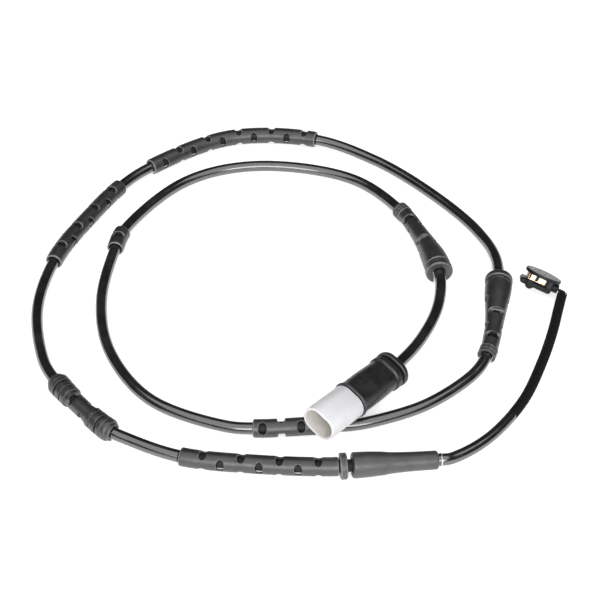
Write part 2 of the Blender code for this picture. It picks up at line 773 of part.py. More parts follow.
def connector_matrix():
    """Frame of the connector at the middle of the boot's rear face, Z towards the socket's rim."""
    forward = CONNECTOR_RIM - CONNECTOR_REAR
    level = frame_matrix(CONNECTOR_REAR - ORIGIN_SHIFT, forward, Vector((0.0, 0.0, 1.0)))
    return level @ Matrix.Rotation(CONNECTOR_ROLL, 4, "Z")


def splice_matrix():
    """Frame of the splice at the middle of its cable end, Z towards the tail."""
    return frame_matrix(SPLICE_START - ORIGIN_SHIFT, SPLICE_END - SPLICE_START, Vector((0.0, 0.0, 1.0)))


def head_matrix():
    """Frame of the sensor head: X along the plate and Z out of the plate's face."""
    z_axis = HEAD_UP.normalized()
    y_axis = z_axis.cross(HEAD_LONG).normalized()
    x_axis = y_axis.cross(z_axis)
    rotation = Matrix((x_axis, y_axis, z_axis)).transposed()
    return Matrix.Translation(HEAD_ORIGIN - ORIGIN_SHIFT) @ rotation.to_4x4()


def route(points):
    """Route points as vectors from the part's own origin."""
    return [Vector(point) - ORIGIN_SHIFT for point in points]


def cable_line():
    """The cable's axis from inside the boot to inside the splice."""
    connector = connector_matrix()
    splice = splice_matrix()
    first = [connector @ Vector((0.0, 0.0, z)) for z in (CABLE_ENTRY, -EXIT_LENGTH)]
    last = [splice @ Vector((0.0, 0.0, z)) for z in (-EXIT_LENGTH, SPLICE_ENTRY)]
    line = smooth_line(first + route(CABLE_ROUTE) + last, CABLE_STEP)
    for point in line:
        point.z = max(point.z, CABLE_R)
    return line


def tail_lines():
    """The tail's axis in two stretches: the smooth jacket, then the braid up to the head."""
    splice = splice_matrix()
    length = (SPLICE_END - SPLICE_START).length
    exit_z = length + TAIL_RING_WIDTH + EXIT_LENGTH
    first = [splice @ Vector((0.0, 0.0, z)) for z in (length - SPLICE_ENTRY, exit_z)]
    mouth = head_matrix() @ TAIL_MOUTH
    last = [mouth.lerp(Vector(TAIL_ROUTE[-1]) - ORIGIN_SHIFT, 0.3), mouth]
    line = smooth_line(first + route(TAIL_ROUTE) + last, TAIL_STEP)
    travelled = 0.0
    for i in range(1, len(line)):
        span = (line[i] - line[i - 1]).length
        if travelled + span > TAIL_JACKET_LENGTH:
            break
        travelled += span
    along = (line[i] - line[i - 1]).normalized()
    joint = line[i - 1] + along * (TAIL_JACKET_LENGTH - travelled)
    return line[:i] + [joint], [joint + along * GAP] + line[i:]


def splice_outline():
    """Outline of the splice: rounded at both ends and waisted in the middle, with a bore."""
    length = (SPLICE_END - SPLICE_START).length
    profile = (
        (0.0, SPLICE_LARGE_R - SPLICE_ROUND),
        (SPLICE_ROUND * 0.3, SPLICE_LARGE_R - SPLICE_ROUND * 0.3),
        (SPLICE_ROUND, SPLICE_LARGE_R),
        (length * 0.20, SPLICE_LARGE_R * 0.97),
        (length * 0.36, (SPLICE_LARGE_R + SPLICE_MID_R) / 2),
        (length * 0.52, SPLICE_MID_R),
        (length * 0.78, SPLICE_SMALL_R),
        (length - SPLICE_ROUND, SPLICE_SMALL_R),
        (length - SPLICE_ROUND * 0.3, SPLICE_SMALL_R - SPLICE_ROUND * 0.3),
        (length, SPLICE_SMALL_R - SPLICE_ROUND),
    )
    return [*profile[::-1], (0.0, CABLE_BORE), (length, TAIL_BORE)]


def build_splice_joint(side, label, frame):
    """One conductor that runs from the cable to the tail through a crimp barrel."""
    length = (SPLICE_END - SPLICE_START).length
    start = SPLICE_ENTRY + GAP
    end = length - SPLICE_ENTRY - GAP
    middle = (start + end) / 2
    profile = (
        (start, STRAND_R),
        (middle - CRIMP_LENGTH / 2, STRAND_R),
        (middle - CRIMP_LENGTH / 2, CRIMP_R),
        (middle + CRIMP_LENGTH / 2, CRIMP_R),
        (middle + CRIMP_LENGTH / 2, STRAND_R),
        (end, STRAND_R),
    )
    joint = solid_turned("splice_joint_" + label, profile, TIN, frame)
    joint.location = (side * (CRIMP_R + GAP / 2), 0.0, 0.0)


def build_splice():
    """Moulded splice body with its inspection hole, the crimped conductors and the end ring."""
    frame = frame_empty("splice_frame", splice_matrix())
    length = (SPLICE_END - SPLICE_START).length
    body = add("splice_body", turned_mesh("splice_body", splice_outline()), SPLICE_RUBBER, frame)
    turn(body)
    bm = bmesh.new()
    reach = SPLICE_SMALL_R + OVERCUT
    height = length - SPLICE_HOLE_FROM_END
    aim = Matrix.Rotation(math.radians(25), 4, "Z") @ Matrix.Rotation(math.radians(90), 4, "Y")
    place = Matrix.Translation((0.0, 0.0, height)) @ aim @ Matrix.Translation((0.0, 0.0, reach / 2))
    bmesh.ops.create_cone(bm, cap_ends=True, segments=12, radius1=SPLICE_HOLE_R,
                          radius2=SPLICE_HOLE_R, depth=reach, matrix=place)
    boolean(body, add_cutter("splice_hole", mesh_from(bm, "splice_hole"), frame))
    build_splice_joint(-1, "left", frame)
    build_splice_joint(1, "right", frame)
    start = length + GAP
    ring = (
        (start, TAIL_RING_R - SLEEVE_CHAMFER / 2),
        (start + SLEEVE_CHAMFER / 2, TAIL_RING_R),
        (start + TAIL_RING_WIDTH, TAIL_RING_R),
    )
    outline = [*ring[::-1], (start, TAIL_BORE), (start + TAIL_RING_WIDTH, TAIL_BORE)]
    turn(add("tail_ring", turned_mesh("tail_ring", outline), TIN, frame))


def box_tool(name, low, high, frame, rounding=0.0):
    """A box between two corners, with rounded edges where asked for."""
    bm = bmesh.new()
    size = Vector(high) - Vector(low)
    middle = (Vector(high) + Vector(low)) / 2
    bmesh.ops.create_cube(bm, size=1.0, matrix=Matrix.Translation(middle) @ Matrix.Diagonal((*size, 1.0)))
    if rounding:
        bmesh.ops.bevel(bm, geom=bm.edges, offset=rounding, segments=3, profile=0.5, affect="EDGES")
    return add_cutter(name, mesh_from(bm, name), frame)


def round_tool(name, centre, radius, length, rotation, frame, segments=20):
    """A round bar about its centre, turned by the given rotation."""
    bm = bmesh.new()
    bmesh.ops.create_cone(bm, cap_ends=True, segments=segments, radius1=radius, radius2=radius,
                          depth=length, matrix=Matrix.Translation(centre) @ rotation)
    return add_cutter(name, mesh_from(bm, name), frame)


def build_sensor_body(frame):
    """The head's moulding: plate, waist, neck, foot with its bulge, and the ear for the leads."""
    bm = bmesh.new()
    plate_middle = Matrix.Translation((PLATE_X, 0.0, PLATE_TOP - PLATE_THICK / 2))
    oval = Matrix.Diagonal((PLATE_HALF.x, PLATE_HALF.y, 1.0, 1.0))
    bmesh.ops.create_cone(bm, cap_ends=True, segments=40, radius1=1.0, radius2=1.0,
                          depth=PLATE_THICK, matrix=plate_middle @ oval)
    body = add("sensor_body", mesh_from(bm, "sensor_body"), HEAD_PLASTIC, frame, smooth=False)
    plate_inside = PLATE_TOP - PLATE_THICK / 2
    foot_inside = (FOOT_TOP + FOOT_BOTTOM) / 2
    waist = box_tool("waist_block", (WAIST_LEFT, -WAIST_HALF, foot_inside),
                     (WAIST_RIGHT + OVERCUT, WAIST_HALF, plate_inside), frame, WAIST_ROUND)
    neck = box_tool("neck_block", (WAIST_RIGHT, -NECK_HALF, foot_inside + GAP),
                    (NECK_RIGHT, NECK_HALF, plate_inside - GAP / 3), frame)
    foot = box_tool("foot_block", (FOOT_LEFT, -FOOT_HALF, FOOT_BOTTOM),
                    (FOOT_RIGHT, FOOT_HALF, FOOT_TOP), frame, FOOT_ROUND)
    along_y = Matrix.Rotation(math.radians(90), 4, "X")
    along_x = Matrix.Rotation(math.radians(90), 4, "Y")
    bulge_centre = (BULGE_X, -FOOT_HALF / 2, FOOT_BOTTOM + BULGE_RISE)
    bulge = round_tool("foot_bulge", bulge_centre, BULGE_R, FOOT_HALF * 0.85, along_y, frame)
    ear_start = WAIST_RIGHT
    ear_centre = ((ear_start + EAR_END) / 2, EAR_Y, EAR_Z)
    ear = round_tool("lead_ear", ear_centre, EAR_R, EAR_END - ear_start, along_x, frame)
    for tool in (waist, neck, foot, bulge, ear):
        boolean(body, tool, "UNION")
    half = Vector((LOOP_HALF + LOOP_R + GAP, LOOP_R + GAP))
    start = LOOP_TIP - LOOP_HALF - LOOP_R - GAP
    tunnel_mesh = oval_mesh("loop_tunnel", [section(start, half), section(EAR_END + OVERCUT, half)],
                            hollow=False)
    tunnel = add_cutter("loop_tunnel", tunnel_mesh, frame)
    tunnel.matrix_local = Matrix.Translation((0.0, EAR_Y, EAR_Z)) @ Matrix((
        (0.0, 0.0, 1.0, 0.0), (1.0, 0.0, 0.0, 0.0), (0.0, 1.0, 0.0, 0.0), (0.0, 0.0, 0.0, 1.0)))
    boolean(body, tunnel)


def bezier(handles, share):
    """Point on a cubic curve at a share of its way."""
    level = list(handles)
    while len(level) > 1:
        level = [start.lerp(end, share) for start, end in zip(level, level[1:])]
    return level[0]


def build_wear_loop(frame):
    """The wire loop in the head, whose two legs bend round to the mouth of the braid."""
    mouth_end, mouth_start = tail_lines()[1][-1], tail_lines()[1][-2]
    inverse = head_matrix().inverted()
    ahead = (inverse @ mouth_end - inverse @ mouth_start).normalized()
    across = Vector((ahead.y, -ahead.x, 0.0)).normalized()
    ear = Vector((EAR_END + GAP, EAR_Y, EAR_Z))
    legs = []
    for side in (-1, 1):
        mouth = TAIL_MOUTH + ahead * GAP + across * LOOP_HALF * side
        end = ear + Vector((0.0, LOOP_HALF * side, 0.0))
        reach = (end - mouth).length * LOOP_REACH
        handles = (mouth, mouth + ahead * reach, end + Vector((reach, 0.0, 0.0)), end)
        legs.append([bezier(handles, i / 8) for i in range(9)])
    hairpin = []
    for i in range(7):
        angle = math.radians(270 - 30 * i)
        offset = Vector((math.cos(angle), math.sin(angle), 0.0)) * LOOP_HALF
        hairpin.append(Vector((LOOP_TIP, EAR_Y, EAR_Z)) + offset)
    curve = poly_curve("wear_loop", legs[0] + hairpin + legs[1][::-1], LOOP_R, 2)
    curve.twist_mode = "MINIMUM"
    add("wear_loop", curve, LEAD_BLACK, frame)


def build_spring_clip(frame):
    """Brass strip bent round the waist, with slots in its front."""
    low = FOOT_TOP + GAP
    high = PLATE_TOP - PLATE_THICK - GAP
    inside = WAIST_HALF + GAP
    left = WAIST_LEFT - GAP
    corner = WAIST_ROUND + GAP
    path = [(CLIP_RIGHT, -inside)]
    for i in range(5):
        angle = math.radians(270 - 22.5 * i)
        path.append((left + corner + corner * math.cos(angle), -inside + corner + corner * math.sin(angle)))
    for i in range(5):
        angle = math.radians(180 - 22.5 * i)
        path.append((left + corner + corner * math.cos(angle), inside - corner + corner * math.sin(angle)))
    path.append((CLIP_RIGHT, inside))
    bm = bmesh.new()
    lower = [bm.verts.new((x, y, low)) for x, y in path]
    upper = [bm.verts.new((x, y, high)) for x, y in path]
    for i in range(len(path) - 1):
        bm.faces.new((lower[i], upper[i], upper[i + 1], lower[i + 1]))
    mesh = bpy.data.meshes.new("spring_clip")
    bm.to_mesh(mesh)
    bm.free()
    clip = add("spring_clip", mesh, BRASS, frame, smooth=False)
    wall = clip.modifiers.new("sheet", "SOLIDIFY")
    wall.thickness = CLIP_THICK
    wall.offset = 1.0
    wall.use_even_offset = True
    slots = ((CLIP_SLOT_X, CLIP_SLOT_WIDTH, "middle"), (CLIP_EDGE_SLOT_X, CLIP_EDGE_SLOT_WIDTH, "edge"))
    for centre, width, label in slots:
        slot = box_tool("clip_slot_" + label, (centre - width / 2, -inside - OVERCUT, low + CLIP_BAR),
                        (centre + width / 2, -inside + OVERCUT, high + OVERCUT), frame)
        boolean(clip, slot)


def build_head():
    """Sensor body, wire loop and brass clip on the head's own frame."""
    frame = frame_empty("head_frame", head_matrix())
    build_sensor_body(frame)
    build_wear_loop(frame)
    build_spring_clip(frame)


def build_cords():
    """Cable, tail jacket and braid as plain tubes along their routes."""
    cable = cable_line()
    add("cable_jacket", poly_curve("cable_jacket", cable, CABLE_R, CABLE_SIDES), GLOSS_BLACK)
    jacket, braid = tail_lines()
    add("tail_jacket", poly_curve("tail_jacket", jacket, TAIL_R, TAIL_SIDES), GLOSS_BLACK)
    add("braided_sleeve", poly_curve("braided_sleeve", braid, TAIL_R, TAIL_SIDES), BRAID_BLACK)
    return add_cutter("cable_guide", poly_curve("cable_guide", cable))


def main():
    """Build every piece of the sensor."""
    guide = build_cords()
    stations = stations_of(cable_line())
    ring_start = stations[-1] - SPLICE_ENTRY - STOP_RING_CLEARANCE - STOP_RING_WIDTH
    build_stop_ring(guide, stations, ring_start)
    for sleeve in (*SLEEVES, bottom_sleeve(ring_start - GAP)):
        build_sleeve(sleeve, guide, stations)
    build_connector()
    build_splice()
    build_head()
    bpy.context.view_layer.update()


main()
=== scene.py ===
"""Looks of a brake pad wear sensor that lies in a loose spiral on a pale table.

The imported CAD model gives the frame. The cable, tail, sleeves, connector, splice and head are dressed
here with finer meshes and procedural finishes. Everything is in metres, in the CAD's own frame.
"""

import logging
import math
from collections.abc import Callable, Iterable, Sequence
from dataclasses import dataclass, field
from enum import Enum

import bmesh
import bpy
from bmesh.types import BMesh, BMVert
from bpy.types import Material, Mesh, Node, NodeSocket as Socket, Object
from mathutils import Matrix, Vector


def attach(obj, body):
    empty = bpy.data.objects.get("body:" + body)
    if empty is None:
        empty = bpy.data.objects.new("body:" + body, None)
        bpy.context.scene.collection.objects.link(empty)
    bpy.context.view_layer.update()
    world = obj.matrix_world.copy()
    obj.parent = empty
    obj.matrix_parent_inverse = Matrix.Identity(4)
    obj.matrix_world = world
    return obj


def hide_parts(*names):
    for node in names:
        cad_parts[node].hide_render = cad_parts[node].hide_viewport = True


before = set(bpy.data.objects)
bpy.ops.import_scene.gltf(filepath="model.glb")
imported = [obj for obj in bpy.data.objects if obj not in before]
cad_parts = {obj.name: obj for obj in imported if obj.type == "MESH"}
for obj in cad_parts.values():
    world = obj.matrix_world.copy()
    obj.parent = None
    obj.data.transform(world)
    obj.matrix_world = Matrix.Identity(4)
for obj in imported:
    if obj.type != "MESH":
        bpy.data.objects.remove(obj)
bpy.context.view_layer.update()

log = logging.getLogger("wear_sensor")
MM = 0.001
BODY = "root"
LAYOUT_SHIFT = Vector((0.00105, 0.00478, 0.0))
MERGE = 0.00001
UPWARD = Vector((0.0, 0.0, 1.0))
QUARTER_X = Matrix.Rotation(math.radians(90), 4, "X")
QUARTER_Y = Matrix.Rotation(math.radians(90), 4, "Y")

Colour = tuple[float, float, float]
Section = tuple[float, float, float]
Profile = Sequence[tuple[float, float]]
Loop = Sequence[BMVert]

# Sizes that the CAD model and this file share
CABLE_R = 0.00225
TAIL_R = 0.00205
BORE_GAP = 0.00035
CABLE_BORE = CABLE_R + BORE_GAP
TAIL_BORE = TAIL_R + BORE_GAP
CAD_CABLE_STEP = 0.014
CAD_TAIL_STEP = 0.0125
EXIT_LENGTH = 0.0012
CABLE_ENTRY = 0.0050
SPLICE_ENTRY = 0.0070
CONNECTOR_REAR = Vector((0.03482, -0.04562, 0.00655))
CONNECTOR_RIM = Vector((0.00652, -0.08215, 0.01385))
CONNECTOR_ROLL = math.radians(-20)
SPLICE_START = Vector((0.0183, -0.0937, 0.0049))
SPLICE_END = Vector((0.0490, -0.0896, 0.0034))
TAIL_RING_WIDTH = 0.0011
TAIL_JACKET_LENGTH = 0.0445
HEAD_ORIGIN = Vector((0.0938, 0.0054, 0.00627))
HEAD_LONG = Vector((0.910, -0.270, -0.310))
HEAD_UP = Vector((0.398, 0.406, 0.820))
TAIL_MOUTH = Vector((0.0108, -0.0036, -0.0006))
SLEEVE_REST = 0.00342
SMALL_END_REST = 0.00318
INNER_FLANGE_REST = 0.0055
INNER_SMALL_END_REST = 0.00353
COLLAR_R = 0.0043
STOP_RING_R = 0.00485

# The cable's route between connector and splice, as in the CAD model: x, y and the height of its axis
CABLE_ROUTE = (
    (0.0461, -0.0270, 0.0038),
    (0.0540, -0.0068, 0.0036),
    (0.0554, 0.0098, INNER_FLANGE_REST),
    (0.0477, 0.0390, 0.0040),
    (0.0413, 0.0528, INNER_SMALL_END_REST),
    (0.0216, 0.0755, CABLE_R),
    (-0.0182, 0.0844, CABLE_R),
    (-0.0475, 0.0742, CABLE_R),
    (-0.0717, 0.0401, SLEEVE_REST),
    (-0.0750, 0.0267, SLEEVE_REST),
    (-0.0780, -0.0025, CABLE_R),
    (-0.0722, -0.0324, CABLE_R),
    (-0.0550, -0.0583, CABLE_R),
    (-0.0273, -0.0719, 0.0025),
    (-0.0152, -0.0740, SLEEVE_REST),
    (0.0069, -0.0726, SLEEVE_REST),
    (0.0165, -0.0716, 0.0024),
    (0.0263, -0.0694, CABLE_R),
    (0.0465, -0.0607, CABLE_R),
    (0.0651, -0.0445, CABLE_R),
    (0.0713, -0.0335, SMALL_END_REST),
    (0.0775, -0.0020, 0.0050),
    (0.0786, 0.0070, 0.0055),
    (0.0786, 0.0200, 0.0048),
    (0.0742, 0.0374, CABLE_R),
    (0.0572, 0.0630, CABLE_R),
    (0.0307, 0.0897, CABLE_R),
    (0.0057, 0.1022, SLEEVE_REST),
    (-0.0306, 0.1031, SLEEVE_REST),
    (-0.0631, 0.0827, SLEEVE_REST),
    (-0.0753, 0.0692, SLEEVE_REST),
    (-0.0870, 0.0483, SLEEVE_REST),
    (-0.0983, 0.0217, SLEEVE_REST),
    (-0.1026, -0.0055, CABLE_R),
    (-0.0977, -0.0354, 0.0036),
    (-0.0921, -0.0483, COLLAR_R),
    (-0.0693, -0.0755, COLLAR_R),
    (-0.0618, -0.0798, 0.0038),
    (-0.0428, -0.0879, SLEEVE_REST),
    (-0.0142, -0.0925, 0.0041),
    (0.0110, -0.0943, STOP_RING_R),
)

# The tail's route between splice and sensor head
TAIL_ROUTE = (
    (0.0542, -0.0880, 0.0026),
    (0.0632, -0.0819, TAIL_R),
    (0.0716, -0.0738, TAIL_R),
    (0.0829, -0.0576, TAIL_R),
    (0.0920, -0.0365, TAIL_R),
    (0.0975, -0.0204, 0.0024),
    (0.1006, -0.0095, 0.0037),
)


class Slot(Enum):
    """Names of the material slots."""

    JACKET = "gloss_black_jacket"
    BRAID = "black_braid"
    SLEEVE = "sleeve_rubber"
    BOOT = "boot_rubber"
    SPLICE = "splice_rubber"
    WHITE = "white_plastic"
    HEAD = "head_plastic"
    BRASS = "brass"
    TIN = "tinned_metal"


class Cut(Enum):
    """What a carving tool does to the piece it meets."""

    TAKE = "DIFFERENCE"
    JOIN = "UNION"


# Materials


class NodeSketch:
    """A node tree that is wired up one node at a time."""

    tree: bpy.types.NodeTree

    def node(self, kind: str, **settings: object) -> Node:
        """Add a node and set its properties.

        Args:
            kind: Blender's name of the node type.
            settings: Property values by name.

        Returns:
            The new node.
        """
        made = self.tree.nodes.new(kind)
        for key, value in settings.items():
            setattr(made, key, value)
        return made

    def feed(self, socket: Socket, value: object) -> None:
        """Link a socket to another one, or set its value."""
        if isinstance(value, Socket):
            self.tree.links.new(value, socket)
        else:
            socket.default_value = value

    def step(self, kind: str, output: str, feeds: dict[str, object], **settings: object) -> Socket:
        """Add a node and feed its inputs.

        Args:
            kind: Blender's name of the node type.
            output: Name of the output that is wanted.
            feeds: A value or a socket for each named input.
            settings: Property values by name.

        Returns:
            The wanted output.
        """
        made = self.node(kind, **settings)
        for key, value in feeds.items():
            self.feed(made.inputs[key], value)
        return made.outputs[output]

    def math(self, operation: str, first: object, second: object = 0.0) -> Socket:
        """One arithmetic step on sockets or numbers."""
        made = self.node("ShaderNodeMath", operation=operation)
        self.feed(made.inputs[0], first)
        self.feed(made.inputs[1], second)
        return made.outputs[0]


class ShaderSketch(NodeSketch):
    """A Principled material with the patterns that the finishes share."""

    def __init__(self, name: str) -> None:
        """Start a plain material.

        Args:
            name: The material's name.
        """
        self.material = bpy.data.materials.new(name)
        self.material.use_nodes = True
        self.tree = self.material.node_tree
        self.shader = self.tree.nodes["Principled BSDF"]

    def set(self, **inputs: object) -> None:
        """Set or link the shader's inputs, named with underscores for spaces."""
        for key, value in inputs.items():
            self.feed(self.shader.inputs[key.replace("_", " ")], value)

    def position(self) -> Socket:
        """Object coordinates, in metres."""
        return self.node("ShaderNodeTexCoord").outputs["Object"]

    def surface_uv(self) -> Socket:
        """The piece's own UV map."""
        return self.node("ShaderNodeUVMap", uv_map="UVMap").outputs["UV"]

    def attribute(self, name: str) -> Socket:
        """A float attribute of the mesh."""
        return self.node("ShaderNodeAttribute", attribute_name=name).outputs["Fac"]

    def stretched(self, vector: Socket, scale: Sequence[float]) -> Socket:
        """Coordinates multiplied along each axis."""
        return self.step("ShaderNodeMapping", "Vector", {"Vector": vector, "Scale": scale})

    def noise(self, vector: Socket, size: float, detail: float = 3.0, roughness: float = 0.55) -> Socket:
        """Soft random variation.

        Args:
            vector: Coordinates.
            size: Width of one blotch, in the coordinates' units.
            detail: How many finer layers it has.
            roughness: How strong the finer layers are.

        Returns:
            The noise value, around 0.5.
        """
        return self.step("ShaderNodeTexNoise", "Fac", {
            "Vector": vector, "Scale": 1.0 / size, "Detail": detail, "Roughness": roughness})

    def span(
        self, value: Socket, low: float, high: float, to_low: float = 0.0, to_high: float = 1.0
    ) -> Socket:
        """Map a range on to another one, clamped.

        Args:
            value: What is mapped.
            low: Start of the range read.
            high: End of the range read.
            to_low: Result at low.
            to_high: Result at high.

        Returns:
            The mapped value.
        """
        return self.step("ShaderNodeMapRange", "Result", {
            "Value": value, "From Min": low, "From Max": high, "To Min": to_low, "To Max": to_high})

    def mix(self, factor: object, low: object, high: object) -> Socket:
        """Blend two colours.

        Args:
            factor: 0 for the first colour, 1 for the second.
            low: First colour, as a socket or three numbers.
            high: Second colour, as a socket or three numbers.

        Returns:
            The blended colour.
        """
        made = self.node("ShaderNodeMix", data_type="RGBA")
        self.feed(made.inputs["Factor"], factor)
        for socket, value in ((made.inputs[6], low), (made.inputs[7], high)):
            self.feed(socket, value if isinstance(value, Socket) else (*value, 1.0))
        return made.outputs[2]

    def bump(self, height: object, depth: float, normal: Socket | None = None) -> Socket:
        """A bumped normal.

        Args:
            height: The height pattern, from 0 to 1.
            depth: Its full height in metres.
            normal: A bumped normal to add to, if any.

        Returns:
            The new normal.
        """
        feeds = {"Height": height, "Distance": depth}
        if normal is not None:
            feeds["Normal"] = normal
        return self.step("ShaderNodeBump", "Normal", feeds)


class Finish:
    """A finish with a name, which each kind wires up in its own way."""

    name: str

    def build(self) -> Material:
        """Make the material."""
        sketch = ShaderSketch(self.name)
        self.wire(sketch)
        return sketch.material


@dataclass(frozen=True)
class GlossJacket(Finish):
    """Black extruded jacket: glossy, with faint streaks along it and a few dust specks."""

    name: str = "jacket_gloss_black"
    colour: Colour = (0.006, 0.006, 0.006)
    scuffed: Colour = (0.020, 0.019, 0.018)
    speck: Colour = (0.20, 0.19, 0.17)
    roughness: tuple[float, float] = (0.12, 0.22)
    bend: float = 1.75
    shine: float = 1.0

    def wire(self, sketch: ShaderSketch) -> None:
        """Set the shader's inputs."""
        place = sketch.position()
        blotch = sketch.noise(place, 6 * MM, 4.0)
        grain = sketch.noise(place, 0.35 * MM, 2.0)
        dust = sketch.span(sketch.noise(place, 0.5 * MM, 1.0), 0.765, 0.80)
        base = sketch.mix(sketch.span(blotch, 0.42, 0.75), self.colour, self.scuffed)
        colour = sketch.mix(sketch.math("MULTIPLY", dust, 0.8), base, self.speck)
        rough = sketch.span(blotch, 0.3, 0.7, *self.roughness)
        streak = sketch.noise(sketch.stretched(sketch.surface_uv(), (14.0, 0.5, 1.0)), 1.0, 3.0)
        normal = sketch.bump(streak, 0.010 * MM, sketch.bump(grain, 0.002 * MM))
        sketch.set(Base_Color=colour, Roughness=rough, Normal=normal)
        sketch.shader.inputs["IOR"].default_value = self.bend
        sketch.shader.inputs["Specular IOR Level"].default_value = self.shine


@dataclass(frozen=True)
class BraidYarn(Finish):
    """Matt black yarn with brown fibres and pale flecks."""

    name: str = "braid_yarn_black"
    colour: Colour = (0.0035, 0.003, 0.003)
    fibre: Colour = (0.014, 0.011, 0.010)
    fleck: Colour = (0.14, 0.115, 0.10)

    def wire(self, sketch: ShaderSketch) -> None:
        """Set the shader's inputs."""
        place = sketch.position()
        fibre = sketch.noise(place, 0.30 * MM, 3.0, 0.7)
        blotch = sketch.noise(place, 3.0 * MM, 3.0)
        fleck = sketch.span(sketch.noise(place, 0.42 * MM, 2.0), 0.72, 0.78)
        base = sketch.mix(sketch.span(fibre, 0.40, 0.75), self.colour, self.fibre)
        pale_mask = sketch.math("MULTIPLY", fleck, sketch.span(blotch, 0.45, 0.65))
        colour = sketch.mix(pale_mask, base, self.fleck)
        normal = sketch.bump(fibre, 0.05 * MM)
        sketch.set(Base_Color=colour, Roughness=sketch.span(fibre, 0.3, 0.7, 0.60, 0.85), Normal=normal)
        sketch.shader.inputs["IOR"].default_value = 1.35
        sketch.shader.inputs["Specular IOR Level"].default_value = 0.4


@dataclass(frozen=True)
class MouldedRubber(Finish):
    """Moulded rubber with soft mottling, fine grain, and paler rounded edges where the mesh marks them:
    partly wear, partly a painted highlight.
    """

    name: str
    colour: Colour
    pale: Colour
    # edge: colour of the marked rims, pale for wear and as a painted highlight on the rounded edges
    edge: Colour
    roughness: tuple[float, float]
    mottle: float = 5 * MM
    grain: float = 0.012 * MM
    specular: float = 0.45

    def wire(self, sketch: ShaderSketch) -> None:
        """Set the shader's inputs."""
        place = sketch.position()
        mottle = sketch.noise(place, self.mottle, 5.0, 0.6)
        bloom = sketch.noise(place, 1.3 * MM, 3.0, 0.6)
        fine = sketch.noise(place, 0.22 * MM, 2.0)
        base = sketch.mix(sketch.span(mottle, 0.35, 0.70), self.colour, self.pale)
        # Wear and painted highlight: the marked rims blend towards the pale edge colour.
        rim = sketch.math("MULTIPLY", sketch.attribute("rim"), sketch.span(bloom, 0.30, 0.60, 0.45, 1.0))
        colour = sketch.mix(rim, base, self.edge)
        rough = sketch.span(bloom, 0.3, 0.7, *self.roughness)
        normal = sketch.bump(fine, self.grain, sketch.bump(bloom, 2 * self.grain))
        sketch.set(Base_Color=colour, Roughness=rough, Normal=normal)
        sketch.shader.inputs["Specular IOR Level"].default_value = self.specular


@dataclass(frozen=True)
class SatinPlastic(Finish):
    """Injection-moulded plastic with a faint flow pattern and a fine skin."""

    name: str
    colour: Colour
    shade: Colour
    roughness: tuple[float, float] = (0.34, 0.46)
    flow: float = 4 * MM
    grain: float = 0.006 * MM
    through: float = 0.0
    specular: float = 0.5

    def wire(self, sketch: ShaderSketch) -> None:
        """Set the shader's inputs."""
        place = sketch.position()
        flow = sketch.noise(place, self.flow, 4.0, 0.6)
        fine = sketch.noise(place, 0.25 * MM, 2.0)
        colour = sketch.mix(sketch.span(flow, 0.35, 0.70), self.colour, self.shade)
        rough = sketch.span(flow, 0.3, 0.7, *self.roughness)
        sketch.set(Base_Color=colour, Roughness=rough, Normal=sketch.bump(fine, self.grain))
        sketch.shader.inputs["Specular IOR Level"].default_value = self.specular
        if self.through:
            sketch.shader.inputs["Subsurface Weight"].default_value = self.through
            sketch.shader.inputs["Subsurface Scale"].default_value = 0.6 * MM


@dataclass(frozen=True)
class ScuffedFaceWithPaintedLight(Finish):
    """The plate's upper face: greyish, scraped and blotchy, with its pale scrapes made brighter as painted
    light on the face that looks up.
    """

    name: str = "plate_face_scuffed_painted_light"
    colour: Colour = (0.09, 0.087, 0.095)
    # pale: scrape colour, raised as painted light on the upward face
    pale: Colour = (0.54, 0.515, 0.525)

    def wire(self, sketch: ShaderSketch) -> None:
        """Set the shader's inputs."""
        place = sketch.position()
        blotch = sketch.noise(place, 1.3 * MM, 4.0, 0.65)
        scrape = sketch.noise(sketch.stretched(place, (0.35, 1.0, 1.0)), 0.5 * MM, 4.0, 0.7)
        # Scrapes, brightened as painted light on the upper face.
        pale_mask = sketch.math("MULTIPLY", sketch.span(blotch, 0.36, 0.60), sketch.span(scrape, 0.25, 0.55))
        colour = sketch.mix(pale_mask, self.colour, self.pale)
        normal = sketch.bump(scrape, 0.03 * MM)
        sketch.set(Base_Color=colour, Roughness=sketch.span(blotch, 0.3, 0.7, 0.45, 0.7), Normal=normal)


@dataclass(frozen=True)
class RolledMetal(Finish):
    """Thin rolled metal with fine lines, slight tarnish and a bright finish."""

    name: str
    colour: Colour
    tarnish: Colour
    roughness: tuple[float, float] = (0.18, 0.36)

    def wire(self, sketch: ShaderSketch) -> None:
        """Set the shader's inputs."""
        place = sketch.position()
        lines = sketch.noise(sketch.stretched(place, (1.0, 1.0, 6.0)), 0.4 * MM, 3.0)
        stain = sketch.noise(place, 1.2 * MM, 4.0, 0.65)
        colour = sketch.mix(sketch.span(stain, 0.45, 0.75), self.colour, self.tarnish)
        rough = sketch.span(stain, 0.3, 0.7, *self.roughness)
        sketch.set(Base_Color=colour, Roughness=rough, Normal=sketch.bump(lines, 0.008 * MM))
        sketch.shader.inputs["Metallic"].default_value = 1.0


@dataclass(frozen=True)
class TableTop(Finish):
    """Plain pale table, lit a little from below like a light table."""

    name: str = "table_white"
    colour: Colour = (0.93, 0.93, 0.93)
    glow: float = 0.6

    def wire(self, sketch: ShaderSketch) -> None:
        """Set the shader's inputs."""
        sketch.set(Base_Color=(*self.colour, 1.0), Roughness=0.9)
        sketch.shader.inputs["Emission Color"].default_value = (*self.colour, 1.0)
        sketch.shader.inputs["Emission Strength"].default_value = self.glow
        sketch.shader.inputs["Specular IOR Level"].default_value = 0.0


